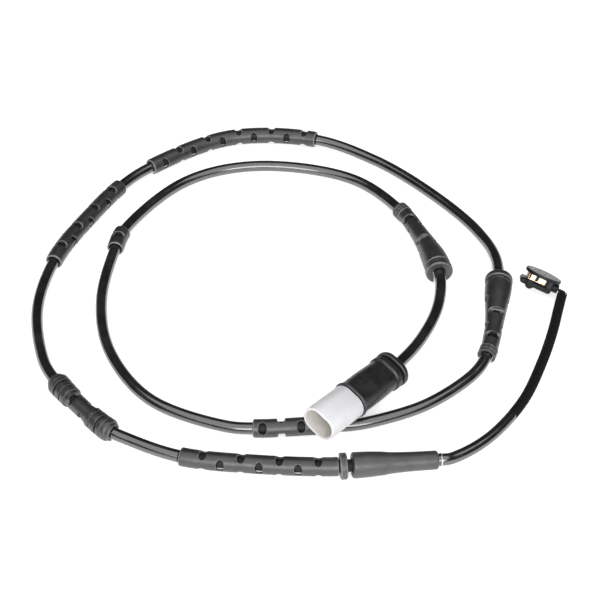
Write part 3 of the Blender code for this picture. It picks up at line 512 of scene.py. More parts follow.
class Palette:
    """The finishes of the whole sensor, each built once."""

    def __init__(self) -> None:
        """Build every material."""
        self.jacket = GlossJacket().build()
        # Painted shade: a copy of the jacket without bright specks and with a duller sheen, for the cable
        # inside the mouldings.
        self.shaded_jacket = GlossJacket(
            "jacket_shaded_black", speck=(0.02, 0.02, 0.02), roughness=(0.5, 0.65), bend=1.4, shine=0.4
        ).build()
        self.braid = BraidYarn().build()
        # Each rubber's third colour is its pale rim colour: partly wear, partly a painted highlight on the
        # rounded edges.
        self.sleeve = MouldedRubber(
            "sleeve_rubber_matt", (0.014, 0.014, 0.0147), (0.027, 0.027, 0.028), (0.22, 0.22, 0.225),
            (0.34, 0.48), specular=0.95
        ).build()
        self.boot = MouldedRubber(
            "boot_rubber_satin", (0.006, 0.006, 0.006), (0.026, 0.026, 0.0265), (0.10, 0.10, 0.102),
            (0.28, 0.50), mottle=6 * MM, specular=0.6
        ).build()
        self.splice = MouldedRubber(
            "splice_rubber_matt", (0.030, 0.030, 0.031), (0.048, 0.048, 0.050), (0.20, 0.20, 0.205),
            (0.36, 0.52), specular=0.85
        ).build()
        self.white = SatinPlastic(
            "shell_plastic_white", (0.71, 0.71, 0.73), (0.67, 0.67, 0.69), (0.30, 0.42), through=0.15
        ).build()
        # Painted shade: a warm grey copy of the white plastic for the socket's inner walls.
        self.inside = SatinPlastic(
            "shell_inside_painted_shade", (0.60, 0.58, 0.545), (0.53, 0.51, 0.475), (0.36, 0.48)
        ).build()
        self.carrier = SatinPlastic("carrier_plastic_grey", (0.36, 0.34, 0.31), (0.26, 0.25, 0.23)).build()
        self.head = SatinPlastic(
            "head_plastic_slate", (0.006, 0.0062, 0.008), (0.018, 0.0185, 0.024), (0.26, 0.44),
            flow=1.5 * MM, specular=0.18
        ).build()
        self.face = ScuffedFaceWithPaintedLight().build()
        self.brass = RolledMetal(
            "clip_brass", (0.84, 0.66, 0.44), (0.50, 0.32, 0.16), (0.28, 0.46)
        ).build()
        self.tin = RolledMetal("tinned_metal_bright", (0.78, 0.78, 0.77), (0.55, 0.54, 0.52)).build()
        self.lead = SatinPlastic(
            "lead_insulation_black", (0.010, 0.010, 0.010), (0.024, 0.023, 0.022)
        ).build()


# Lines and frames


def frame_matrix(origin: Vector, forward: Vector, upward: Vector) -> Matrix:
    """A frame at origin with Z along forward and Y as near to upward as it can be.

    Args:
        origin: The frame's place.
        forward: Direction of its Z axis.
        upward: Direction that its Y axis leans to.

    Returns:
        The frame as a 4 x 4 matrix.
    """
    z_axis = forward.normalized()
    x_axis = upward.cross(z_axis).normalized()
    y_axis = z_axis.cross(x_axis)
    return Matrix.Translation(origin) @ Matrix((x_axis, y_axis, z_axis)).transposed().to_4x4()


def connector_matrix() -> Matrix:
    """Frame of the connector at the middle of the boot's rear face, Z towards the socket's rim."""
    forward = CONNECTOR_RIM - CONNECTOR_REAR
    level = frame_matrix(CONNECTOR_REAR - LAYOUT_SHIFT, forward, UPWARD)
    return level @ Matrix.Rotation(CONNECTOR_ROLL, 4, "Z")


def splice_matrix() -> Matrix:
    """Frame of the splice at the middle of its cable end, Z towards the tail."""
    return frame_matrix(SPLICE_START - LAYOUT_SHIFT, SPLICE_END - SPLICE_START, UPWARD)


def head_matrix() -> Matrix:
    """Frame of the sensor head: X along the plate and Z out of the plate's face."""
    z_axis = HEAD_UP.normalized()
    y_axis = z_axis.cross(HEAD_LONG).normalized()
    x_axis = y_axis.cross(z_axis)
    rotation = Matrix((x_axis, y_axis, z_axis)).transposed()
    return Matrix.Translation(HEAD_ORIGIN - LAYOUT_SHIFT) @ rotation.to_4x4()


def curve_points(points: Sequence[Vector]) -> list[Vector]:
    """Fine points on a smooth curve, with the first and last points as its straight ends."""
    fine = []
    parts = 40
    for p0, p1, p2, p3 in zip(points, points[1:], points[2:], points[3:]):
        t1 = (p1 - p0).length ** 0.5
        t2 = t1 + (p2 - p1).length ** 0.5
        t3 = t2 + (p3 - p2).length ** 0.5
        for i in range(parts):
            t = t1 + (t2 - t1) * i / parts
            a1 = p0.lerp(p1, t / t1)
            a2 = p1.lerp(p2, (t - t1) / (t2 - t1))
            a3 = p2.lerp(p3, (t - t2) / (t3 - t2))
            b1 = a1.lerp(a2, t / t2)
            b2 = a2.lerp(a3, (t - t1) / (t3 - t1))
            fine.append(b1.lerp(b2, (t - t1) / (t2 - t1)))
    fine.append(points[-2])
    return fine


def stations_of(line: Sequence[Vector]) -> list[float]:
    """Distance of each point of a polyline from its start."""
    distances = [0.0]
    for start, end in zip(line, line[1:]):
        distances.append(distances[-1] + (end - start).length)
    return distances


def even_points(line: Sequence[Vector], step: float) -> list[Vector]:
    """Points along a polyline, a whole number of equal steps apart.

    Args:
        line: The polyline.
        step: The wanted distance between points.

    Returns:
        The evenly spaced points, both ends included.
    """
    distances = stations_of(line)
    count = max(2, round(distances[-1] / step))
    spaced = []
    index = 0
    for i in range(count + 1):
        target = distances[-1] * i / count
        while index < len(line) - 2 and distances[index + 1] < target:
            index += 1
        gap = distances[index + 1] - distances[index]
        spaced.append(line[index].lerp(line[index + 1], (target - distances[index]) / gap))
    return spaced


class Path:
    """A smooth line through the route's points, with a level frame at each place on it."""

    STEP = 0.5 * MM

    def __init__(self, points: Sequence[Vector], cad_step: float, floor: float) -> None:
        """Lay the line.

        Args:
            points: Straight end, route and straight end.
            cad_step: Distance between the points of the CAD model's polyline.
            floor: Lowest height of the line.
        """
        inner = curve_points(points)
        chords = even_points(inner, cad_step)
        whole = [points[0], *inner, points[-1]]
        for point in whole:
            point.z = max(point.z, floor)
        self.points = even_points(whole, self.STEP)
        self.length = stations_of(self.points)[-1]
        ends = (points[1] - points[0]).length + (points[-1] - points[-2]).length
        self.stretch = self.length / (stations_of(chords)[-1] + ends)
        self.gap = self.length / (len(self.points) - 1)

    def frame(self, station: float) -> tuple[Vector, Vector, Vector]:
        """Origin, left and up at a distance along the line.

        Args:
            station: Distance from the start, as measured on this line.

        Returns:
            The place, the direction to its left and the direction up.
        """
        place = min(max(station / self.gap, 0.0), len(self.points) - 1.0)
        index = min(int(place), len(self.points) - 2)
        origin = self.points[index].lerp(self.points[index + 1], place - index)
        before = self.points[max(index - 2, 0)]
        after = self.points[min(index + 3, len(self.points) - 1)]
        forward = (after - before).normalized()
        up = (UPWARD - forward * UPWARD.dot(forward)).normalized()
        return origin, up.cross(forward), up

    def bend(self, mesh: Mesh) -> None:
        """Move a straight mesh, with its stations along Z, on to the line."""
        frames = {}
        for vertex in mesh.vertices:
            x, y, z = vertex.co
            key = round(z / MERGE)
            if key not in frames:
                frames[key] = self.frame(z * self.stretch)
            origin, left, up = frames[key]
            vertex.co = origin + left * x + up * y

    def stretch_points(self, start: float, end: float, step: float) -> list[Vector]:
        """Points of the line between two stations.

        Args:
            start: First station.
            end: Last station.
            step: Wanted distance between points.

        Returns:
            The points.
        """
        count = max(2, round((end - start) / step))
        return [self.frame(start + (end - start) * i / count)[0] for i in range(count + 1)]


# Meshes

SHARP_ANGLE = math.radians(52)
BEVEL_ANGLE = math.radians(32)
BEVEL_SEGMENTS = 3
BEVEL_FACES = 1
TOOL_SIDES = 28


def linked(name: str, data: bpy.types.ID) -> Object:
    """A new object in the scene that shows some data."""
    obj = bpy.data.objects.new(name, data)
    bpy.context.scene.collection.objects.link(obj)
    return obj


def publish(mesh: Mesh, name: str, mats: Iterable[Material]) -> Object:
    """Put a finished mesh into the scene as a piece that rides on the part's body.

    Args:
        mesh: The finished mesh, in its final place.
        name: The piece's name.
        mats: Its materials, in slot order.

    Returns:
        The piece.
    """
    mesh.name = name
    which = [face.material_index for face in mesh.polygons]
    mesh.materials.clear()
    for mat in mats:
        mesh.materials.append(mat)
    mesh.polygons.foreach_set("material_index", which)
    mesh.shade_smooth()
    mesh.set_sharp_from_angle(angle=SHARP_ANGLE)
    piece = linked(name, mesh)
    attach(piece, BODY)
    log.info("%s: %d faces", name, len(mesh.polygons))
    return piece


def dress(mesh: Mesh, node: str, mats: Iterable[Material], place: Matrix | None = None) -> None:
    """Put a finished mesh in place of a CAD node.

    Args:
        mesh: The finished mesh.
        node: The CAD node that it replaces.
        mats: Its materials, in slot order.
        place: Frame that the mesh was made in, if it isn't in its final place yet.
    """
    if place is not None:
        mesh.transform(place)
    piece = publish(mesh, "dressed_" + node, mats)
    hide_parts(node)


def mesh_from(bm: BMesh, name: str) -> Mesh:
    """Turn a bmesh into mesh data with its faces pointing outwards."""
    bmesh.ops.remove_doubles(bm, verts=bm.verts, dist=MERGE)
    bmesh.ops.recalc_face_normals(bm, faces=bm.faces)
    mesh = bpy.data.meshes.new(name)
    bm.to_mesh(mesh)
    bm.free()
    return mesh


def bake(obj: Object) -> Mesh:
    """Apply an object's modifiers to a new plain mesh, and remove the object."""
    bpy.context.view_layer.update()
    graph = bpy.context.evaluated_depsgraph_get()
    mesh = bpy.data.meshes.new_from_object(obj.evaluated_get(graph))
    bpy.data.objects.remove(obj)
    return mesh


def carve(body: Mesh, tools: Sequence[tuple[Mesh, Cut]], bevel: float) -> Mesh:
    """Cut and join a mesh with tools, then round its sharp edges.

    Args:
        body: The mesh that is worked on.
        tools: Tool meshes, each with what it does.
        bevel: Width of the rounding.

    Returns:
        The finished mesh, in triangles, with its rounded edges marked for pale wear and a painted highlight.
    """
    body.materials.append(None)
    body.materials.append(None)
    obj = linked("scratch", body)
    helpers = []
    for mesh, cut in tools:
        helper = linked("scratch", mesh)
        helpers.append(helper)
        step = obj.modifiers.new("cut", "BOOLEAN")
        step.operation = cut.value
        step.solver = "EXACT"
        step.object = helper
    rounding = obj.modifiers.new("rounding", "BEVEL")
    rounding.width = bevel
    rounding.segments = BEVEL_SEGMENTS
    rounding.material = BEVEL_FACES
    rounding.limit_method = "ANGLE"
    rounding.angle_limit = BEVEL_ANGLE
    rounding.use_clamp_overlap = False
    obj.modifiers.new("triangles", "TRIANGULATE")
    mesh = bake(obj)
    for helper in helpers:
        bpy.data.objects.remove(helper)
    mark_worn_and_highlit_rims(mesh)
    return mesh


def mark_worn_and_highlit_rims(mesh: Mesh) -> None:
    """Mark the middle of the rounded edges, which are coloured paler: partly wear, partly a painted
    highlight.
    """
    rounded = [True] * len(mesh.vertices)
    for face in mesh.polygons:
        if face.material_index != BEVEL_FACES:
            for index in face.vertices:
                rounded[index] = False
        face.material_index = 0
    layer = mesh.attributes.new("rim", "FLOAT", "POINT")
    layer.data.foreach_set("value", [float(value) for value in rounded])


def ring(bm: BMesh, radius: float, z: float, sides: int) -> Loop:
    """One round ring of vertices about Z."""
    turn = math.tau / sides
    return [
        bm.verts.new((radius * math.cos(turn * i), radius * math.sin(turn * i), z)) for i in range(sides)]


def arc(
    centre: Sequence[float], radius: float, first: float, last: float, parts: int
) -> list[tuple[float, float]]:
    """Points on an arc, both ends included.

    Args:
        centre: Its middle.
        radius: Its radius.
        first: Angle of the first point, in degrees.
        last: Angle of the last point.
        parts: How many parts it is split into.

    Returns:
        The points in order.
    """
    points = []
    for i in range(parts + 1):
        angle = math.radians(first + (last - first) * i / parts)
        points.append((centre[0] + radius * math.cos(angle), centre[1] + radius * math.sin(angle)))
    return points


def mirrored(profile: Profile, length: float) -> list[tuple[float, float]]:
    """A profile run from its other end, where it is length long."""
    return [(length - distance, radius) for distance, radius in reversed(profile)]


def bridge(bm: BMesh, near: Loop, far: Loop) -> None:
    """Join two rings of equal length with faces."""
    count = len(near)
    for i in range(count):
        j = (i + 1) % count
        bm.faces.new((near[i], near[j], far[j], far[i]))


def refined(profile: Profile, step: float) -> list[tuple[float, float]]:
    """Split the long spans of a profile of distance and radius pairs."""
    finer = [profile[0]]
    for (start, start_r), (end, end_r) in zip(profile, profile[1:]):
        count = max(1, math.ceil(abs(end - start) / step))
        for i in range(1, count + 1):
            share = i / count
            finer.append((start + (end - start) * share, start_r + (end_r - start_r) * share))
    return finer


def turned(
    profile: Profile, bore: Profile, step: float, sides: int
) -> Mesh:
    """A turned, hollow mesh about Z.

    Args:
        profile: Outer distance and radius pairs, in rising order.
        bore: The same for the hole, also in rising order.
        step: Longest span between rings.
        sides: Faces round the piece.

    Returns:
        The closed mesh.
    """
    outline = refined(profile, step) + refined(bore, step)[::-1]
    bm = bmesh.new()
    rings = [ring(bm, radius, z, sides) for z, radius in outline]
    for near, far in zip(rings, rings[1:] + rings[:1]):
        bridge(bm, near, far)
    return mesh_from(bm, "turned")


def tube(
    path: Path, start: float, end: float, radius: Callable[[float], float], step: float, sides: int
) -> Mesh:
    """A round tube along a path, with a UV map that runs round and along it.

    Args:
        path: The line it follows.
        start: First station.
        end: Last station.
        radius: Radius as a function of the station.
        step: Distance between rings.
        sides: Faces round the tube.

    Returns:
        The closed mesh.
    """
    count = max(2, round((end - start) / step))
    bm = bmesh.new()
    uv = bm.loops.layers.uv.new("UVMap")
    rings = []
    stations = []
    for i in range(count + 1):
        station = start + (end - start) * i / count
        origin, left, up = path.frame(station)
        r = radius(station)
        loop = []
        for k in range(sides):
            angle = math.tau * k / sides
            across = left * (r * math.cos(angle))
            loop.append(bm.verts.new(origin + across + up * (r * math.sin(angle))))
        rings.append(loop)
        stations.append(station)
    girth = math.tau * radius((start + end) / 2)
    for i in range(count):
        for k in range(sides):
            j = (k + 1) % sides
            face = bm.faces.new((rings[i][k], rings[i][j], rings[i + 1][j], rings[i + 1][k]))
            corners = ((k, i), (k + 1, i), (k + 1, i + 1), (k, i + 1))
            for corner, (around, along) in zip(face.loops, corners):
                corner[uv].uv = (around / sides, stations[along] / girth)
    bm.faces.new(rings[0])
    bm.faces.new(rings[-1])
    bmesh.ops.recalc_face_normals(bm, faces=bm.faces)
    mesh = bpy.data.meshes.new("tube")
    bm.to_mesh(mesh)
    bm.free()
    return mesh


def oval_ring(
    bm: BMesh, z: float, half_long: float, half_short: float, segments: int
) -> Loop:
    """One ring of a flat-sided oval about Z.

    Args:
        bm: The mesh that is being built.
        z: Distance along the axis.
        half_long: Half of its length along X.
        half_short: Half of its width along Y.
        segments: Faces on each half round.

    Returns:
        The ring's vertices in order.
    """
    straight = half_long - half_short
    loop = []
    for side in (1, -1):
        for i in range(segments + 1):
            angle = math.pi * (i / segments - 0.5)
            x = side * (straight + half_short * math.cos(angle))
            loop.append(bm.verts.new((x, side * half_short * math.sin(angle), z)))
    return loop


def oval_loft(sections: Sequence[Section], segments: int) -> Mesh:
    """A closed loft through flat-sided ovals, from each to the next and from the last to the first.

    Args:
        sections: Distance, half length and half width of each ring.
        segments: Faces on each half round.

    Returns:
        The closed mesh.
    """
    bm = bmesh.new()
    loops = [oval_ring(bm, *part, segments) for part in sections]
    for near, far in zip(loops, loops[1:] + loops[:1]):
        bridge(bm, near, far)
    return mesh_from(bm, "oval_loft")


def rod(place: Matrix, radius: float, length: float, sides: int = TOOL_SIDES) -> Mesh:
    """A round bar about the Z axis of the given frame."""
    bm = bmesh.new()
    bmesh.ops.create_cone(
        bm, cap_ends=True, segments=sides, radius1=radius, radius2=radius, depth=length, matrix=place)
    return mesh_from(bm, "rod")


def block(low: Sequence[float], high: Sequence[float], rounding: float = 0.0) -> Mesh:
    """A box between two corners, with rounded edges where asked for."""
    size = Vector(high) - Vector(low)
    middle = (Vector(high) + Vector(low)) / 2
    bm = bmesh.new()
    place = Matrix.Translation(middle) @ Matrix.Diagonal((*size, 1.0))
    bmesh.ops.create_cube(bm, size=1.0, matrix=place)
    if rounding:
        bmesh.ops.bevel(bm, geom=bm.edges, offset=rounding, segments=4, profile=0.5, affect="EDGES")
    return mesh_from(bm, "block")


def slab(outline: Profile, low: float, high: float) -> Mesh:
    """A flat plate with the given outline in X and Y, between two heights."""
    bm = bmesh.new()
    lower = [bm.verts.new((x, y, low)) for x, y in outline]
    upper = [bm.verts.new((x, y, high)) for x, y in outline]
    bm.faces.new(lower)
    bm.faces.new(upper)
    bridge(bm, lower, upper)
    return mesh_from(bm, "slab")


def radius_at(profile: Profile, distance: float) -> float:
    """Outer radius of a profile at a distance from its start."""
    for (start, start_r), (end, end_r) in zip(profile, profile[1:]):
        if start <= distance <= end and end > start:
            return start_r + (end_r - start_r) * (distance - start) / (end - start)
    return profile[-1][1]


# The cable and what sits on it


@dataclass
class CableRun:
    """The glossy main cable from the boot to the splice."""

    material: Material
    shaded: Material
    radius: float = CABLE_R
    ring_step: float = 1.5 * MM
    cord_step: float = 4 * MM
    sides: int = 32
    path: Path = field(init=False)

    def __post_init__(self) -> None:
        """Lay the cable's line."""
        connector, splice = connector_matrix(), splice_matrix()
        first = [connector @ Vector((0.0, 0.0, z)) for z in (CABLE_ENTRY, -EXIT_LENGTH)]
        last = [splice @ Vector((0.0, 0.0, z)) for z in (-EXIT_LENGTH, SPLICE_ENTRY)]
        route = [Vector(point) - LAYOUT_SHIFT for point in CABLE_ROUTE]
        self.path = Path(first + route + last, CAD_CABLE_STEP, self.radius)

    def build(self, covered: Profile) -> None:
        """Args:
            covered: First and last station of each stretch inside a moulding, which gets the darker, duller
                jacket as painted shade.
        """
        mesh = tube(self.path, 0.0, self.path.length, lambda s: self.radius, self.ring_step, self.sides)
        rings = round(self.path.length / self.ring_step)
        for index, face in enumerate(mesh.polygons):
            station = (index // self.sides + 0.5) / rings * self.path.length
            # Painted shade: faces inside the mouldings take the darker, duller jacket copy.
            face.material_index = int(any(start < station < end for start, end in covered))
        piece = publish(mesh, "main_cable", [self.material, self.shaded])
        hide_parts("cable_jacket")
        self.path.stretch_points(0.0, self.path.length, self.cord_step)


@dataclass(frozen=True)
class Row:
    """Notches on opposite sides of a sleeve: place of the first, how many, and how far apart."""

    first: float
    count: int
    pitch: float


@dataclass
class SplitSleeve:
    """A split rubber moulding on the cable, with cross-cut notches and a slit along its underside."""

    node: str
    start: float
    profile: Profile
    slit: float
    roll: float
    top_row: Row
    side_row: Row
    material: Material
    path: Path
    edge_round: float
    one_sided: bool = False
    rib: tuple[float, float] | None = None
    notch_radius: float = 1.4 * MM
    notch_sink: float = 0.3 * MM
    notch_length: float = 12 * MM
    window: Section = (1.7 * MM, 2.7 * MM, 1.45 * MM)
    window_rings: int = 16
    rib_half: float = 0.35 * MM
    rib_gap: float = 0.3 * MM
    ring_step: float = 1.4 * MM
    sides: int = 48
    overcut: float = 1.0 * MM

    def notches(self, row: Row, angles: Iterable[float], oval: bool = False) -> Mesh:
        """Cut tools for one row of notches or windows.

        Args:
            row: Where they are.
            angles: Their directions from the left side, in degrees.
            oval: Whether they are oval windows and not notches cut straight across.

        Returns:
            One mesh with all the tools.
        """
        bm = bmesh.new()
        for i in range(row.count):
            distance = row.first + i * row.pitch
            radius = radius_at(self.profile, distance)
            for angle in angles:
                turn = Matrix.Rotation(math.radians(angle + self.roll), 4, "Z")
                middle = (radius - self.notch_sink, 0.0, self.start + distance)
                place = turn @ Matrix.Translation(middle)
                if oval:
                    bmesh.ops.create_uvsphere(
                        bm, u_segments=TOOL_SIDES, v_segments=self.window_rings, radius=1.0,
                        matrix=place @ Matrix.Diagonal((*self.window, 1.0)))
                else:
                    bmesh.ops.create_cone(
                        bm, cap_ends=True, segments=TOOL_SIDES, radius1=self.notch_radius,
                        radius2=self.notch_radius, depth=self.notch_length, matrix=place @ QUARTER_X)
        return mesh_from(bm, "notches")

    def rib_tool(self) -> Mesh:
        """The short rib on top that joins the end ridges."""
        near, far = self.rib
        height = radius_at(self.profile, near)
        rib = block(
            (-self.rib_half, CABLE_BORE + self.rib_gap, self.start + near),
            (self.rib_half, height, self.start + far))
        rib.transform(Matrix.Rotation(math.radians(self.roll / 2), 4, "Z"))
        return rib

    def slit_tool(self) -> Mesh:
        """The box that opens the underside."""
        length = self.profile[-1][0]
        deepest = max(radius for _, radius in self.profile) + self.overcut
        low = (-self.slit / 2, -deepest - CABLE_BORE / 4, self.start - self.overcut)
        high = (self.slit / 2, -CABLE_BORE / 4, self.start + length + self.overcut)
        return block(low, high)

    def build(self) -> None:
        """Turn, carve, bend and place the sleeve."""
        outer = [(self.start + distance, radius) for distance, radius in self.profile]
        bore = [(outer[0][0], CABLE_BORE), (outer[-1][0], CABLE_BORE)]
        body = turned(outer, bore, self.ring_step, self.sides)
        tools = []
        if self.rib:
            tools.append((self.rib_tool(), Cut.JOIN))
        if self.top_row.count:
            angles = (90,) if self.one_sided else (90, 270)
            tools.append((self.notches(self.top_row, angles), Cut.TAKE))
        if self.side_row.count:
            tools.append((self.notches(self.side_row, (0, 180), oval=True), Cut.TAKE))
        tools.append((self.slit_tool(), Cut.TAKE))
        mesh = carve(body, tools, self.edge_round)
        self.path.bend(mesh)
        dress(mesh, self.node, [self.material])


@dataclass
class SleeveSet:
    """All the rubber mouldings on the cable, from the connector outwards."""

    path: Path
    rubber: Material
    ring_rubber: Material
    sleeve_r: float = 3.42 * MM
    flange_r: float = 5.5 * MM
    flange_thick: float = 2.4 * MM
    groove_r: float = 4.1 * MM
    groove_width: float = 1.3 * MM
    body_r: float = 5.3 * MM
    mid_r: float = 4.0 * MM
    end_r: float = 3.25 * MM
    ridge_r: float = 3.6 * MM
    ridge_groove_r: float = 2.95 * MM
    ridge_width: float = 0.8 * MM
    chamfer: float = 0.3 * MM
    edge_round: float = 0.2 * MM
    sleeve_slit: float = 2.6 * MM
    grommet_slit: float = 4.2 * MM
    inner_length: float = 45.1 * MM
    outer_length: float = 42.7 * MM
    ring_start: float = 1015.2 * MM
    ring_width: float = 2.5 * MM
    ring_wave: float = 0.012
    ring_waves: int = 5
    ring_twist: float = 900.0

    def collar(self, start: float, end: float, radius: float) -> list[tuple[float, float]]:
        """Profile of a straight collar whose rims are cut back."""
        return [
            (start, radius - self.chamfer),
            (start + self.chamfer, radius),
            (end - self.chamfer, radius),
            (end, radius - self.chamfer),
        ]

    def grommet(self, length: float) -> list[tuple[float, float]]:
        """Profile of a tapered grommet, from its flange to its ridged small end."""
        groove_end = self.flange_thick + self.groove_width
        width = self.ridge_width
        ridges = length - 5 * width
        body, middle, end = self.body_r, self.mid_r, self.end_r
        taper = (
            (0.17, body * 0.98), (0.24, body * 0.94), (0.31, body * 0.88),
            (0.38, middle + 0.22 * (body - middle)), (0.45, middle), (0.55, middle - 0.45 * (middle - end)),
            (0.66, middle - 0.75 * (middle - end)), (0.75, end + self.chamfer / 2),
        )
        points = self.collar(0.0, self.flange_thick, self.flange_r) + [
            (self.flange_thick, self.groove_r),
            (groove_end, self.groove_r),
            (groove_end, body - self.chamfer),
            (groove_end + self.chamfer, body),
            *((length * share, radius) for share, radius in taper),
            (ridges, end),
        ]
        for i in (0, 2):
            points += [
                (ridges + i * width, self.ridge_r),
                (ridges + (i + 1) * width, self.ridge_r),
                (ridges + (i + 1) * width, self.ridge_groove_r),
                (ridges + (i + 2) * width, self.ridge_groove_r),
            ]
        return points + [(ridges + 4 * width, self.ridge_r), (length, self.ridge_r)]

    def double(self, length: float) -> list[tuple[float, float]]:
        """Profile of the sleeve with two grooved collars at each end."""
        edge, groove, inner_r = 3.5 * MM, 2.95 * MM, 4.2 * MM
        collar_end, inner_start, line, inner_end = 5.0 * MM, 6.2 * MM, 8.6 * MM, 11.3 * MM
        near = [
            (0.0, edge - self.chamfer),
            (self.chamfer, edge),
            (1.4 * MM, edge),
            (1.4 * MM, COLLAR_R - self.chamfer),
            (2.0 * MM, COLLAR_R),
            (3.1 * MM, COLLAR_R),
            (3.1 * MM, COLLAR_R - 0.4 * MM),
            (3.6 * MM, COLLAR_R - 0.4 * MM),
            (3.6 * MM, COLLAR_R),
            (collar_end, COLLAR_R),
            (collar_end, groove),
            (inner_start, groove),
            (inner_start, inner_r),
            (line, inner_r),
            (line, edge),
            (line + 0.6 * MM, edge),
            (line + 0.6 * MM, inner_r - 0.1 * MM),
            (inner_end, inner_r - 0.1 * MM),
            (inner_end, self.sleeve_r),
        ]
        return near + mirrored(near, length)

    def sleeves(self) -> list[SplitSleeve]:
        """The mouldings with their places, rolls and notches."""
        none = Row(0.0, 0, 0.0)
        inner = self.grommet(self.inner_length)
        outer = mirrored(self.grommet(self.outer_length), self.outer_length)
        double = self.double(35.8 * MM)
        clip, notched, top, left, bottom = (
            self.collar(0.0, length * MM, self.sleeve_r) for length in (11.0, 24.0, 77.6, 54.3, 56.7))
        plans = (
            ("inner_grommet", 65.7, inner, -30, Row(19.8, 2, 15.7), Row(16.3, 2, 14.0)),
            ("clip_sleeve", 258.1, clip, 5, Row(5.4, 1, 0.0), none),
            ("notched_sleeve", 402.7, notched, -41, Row(10.2, 1, 0.0), Row(3.5, 2, 13.7)),
            ("outer_grommet", 503.5, outer, 10, Row(9.2, 2, 12.6), Row(15.2, 2, 14.1)),
            ("long_sleeve_top", 673.4, top, 12, Row(5.3, 5, 14.4), Row(12.8, 5, 14.7)),
            ("long_sleeve_left", 769.2, left, 10, Row(6.3, 4, 13.3), Row(12.8, 3, 13.7)),
            ("double_grommet", 895.4, double, 20, Row(14.3, 1, 0.0), Row(20.8, 1, 0.0)),
            ("long_sleeve_bottom", 958.2, bottom, -12, Row(8.4, 4, 13.7), Row(14.9, 3, 13.8)),
        )
        ribs = {"outer_grommet": (0.1 * self.ridge_width, 4.9 * self.ridge_width)}
        rounds = {"double_grommet": 0.07 * MM, "inner_grommet": 0.16 * MM, "outer_grommet": 0.16 * MM}
        made = []
        for node, start, profile, roll, upper, side in plans:
            rows = [Row(row.first * MM, row.count, row.pitch * MM) for row in (upper, side)]
            slit = self.grommet_slit if profile in (inner, outer) else self.sleeve_slit
            made.append(SplitSleeve(
                node, start * MM, profile, slit, roll, *rows, self.rubber, self.path,
                one_sided=node == "clip_sleeve", rib=ribs.get(node),
                edge_round=rounds.get(node, self.edge_round)))
        return made

    def stop_ring(self) -> None:
        """The thin collar beside the splice, a little uneven round its rim."""
        start, end = self.ring_start, self.ring_start + self.ring_width
        profile = self.collar(start, end, STOP_RING_R)
        mesh = turned(profile, [(start, CABLE_BORE), (end, CABLE_BORE)], 0.7 * MM, 64)
        for vertex in mesh.vertices:
            if vertex.co.xy.length > CABLE_BORE + self.chamfer:
                phase = self.ring_waves * math.atan2(vertex.co.y, vertex.co.x) + self.ring_twist * vertex.co.z
                wave = 1.0 - self.ring_wave * (1 + math.sin(phase))
                vertex.co.x *= wave
                vertex.co.y *= wave
        mesh = carve(mesh, [], self.edge_round)
        self.path.bend(mesh)
        dress(mesh, "stop_ring", [self.ring_rubber])

    def covered(self) -> list[tuple[float, float]]:
        """Stations of the cable between which it lies inside a moulding, where it gets the darker jacket as
        painted shade.
        """
        spans = [(sleeve.start, sleeve.start + sleeve.profile[-1][0]) for sleeve in self.sleeves()]
        spans.append((self.ring_start, self.ring_start + self.ring_width + SPLICE_ENTRY))
        return [(start * self.path.stretch, end * self.path.stretch) for start, end in spans]

    def build(self) -> None:
        """Make every moulding on the cable."""
        for sleeve in self.sleeves():
            sleeve.build()
        self.stop_ring()


# The splice and the braided tail


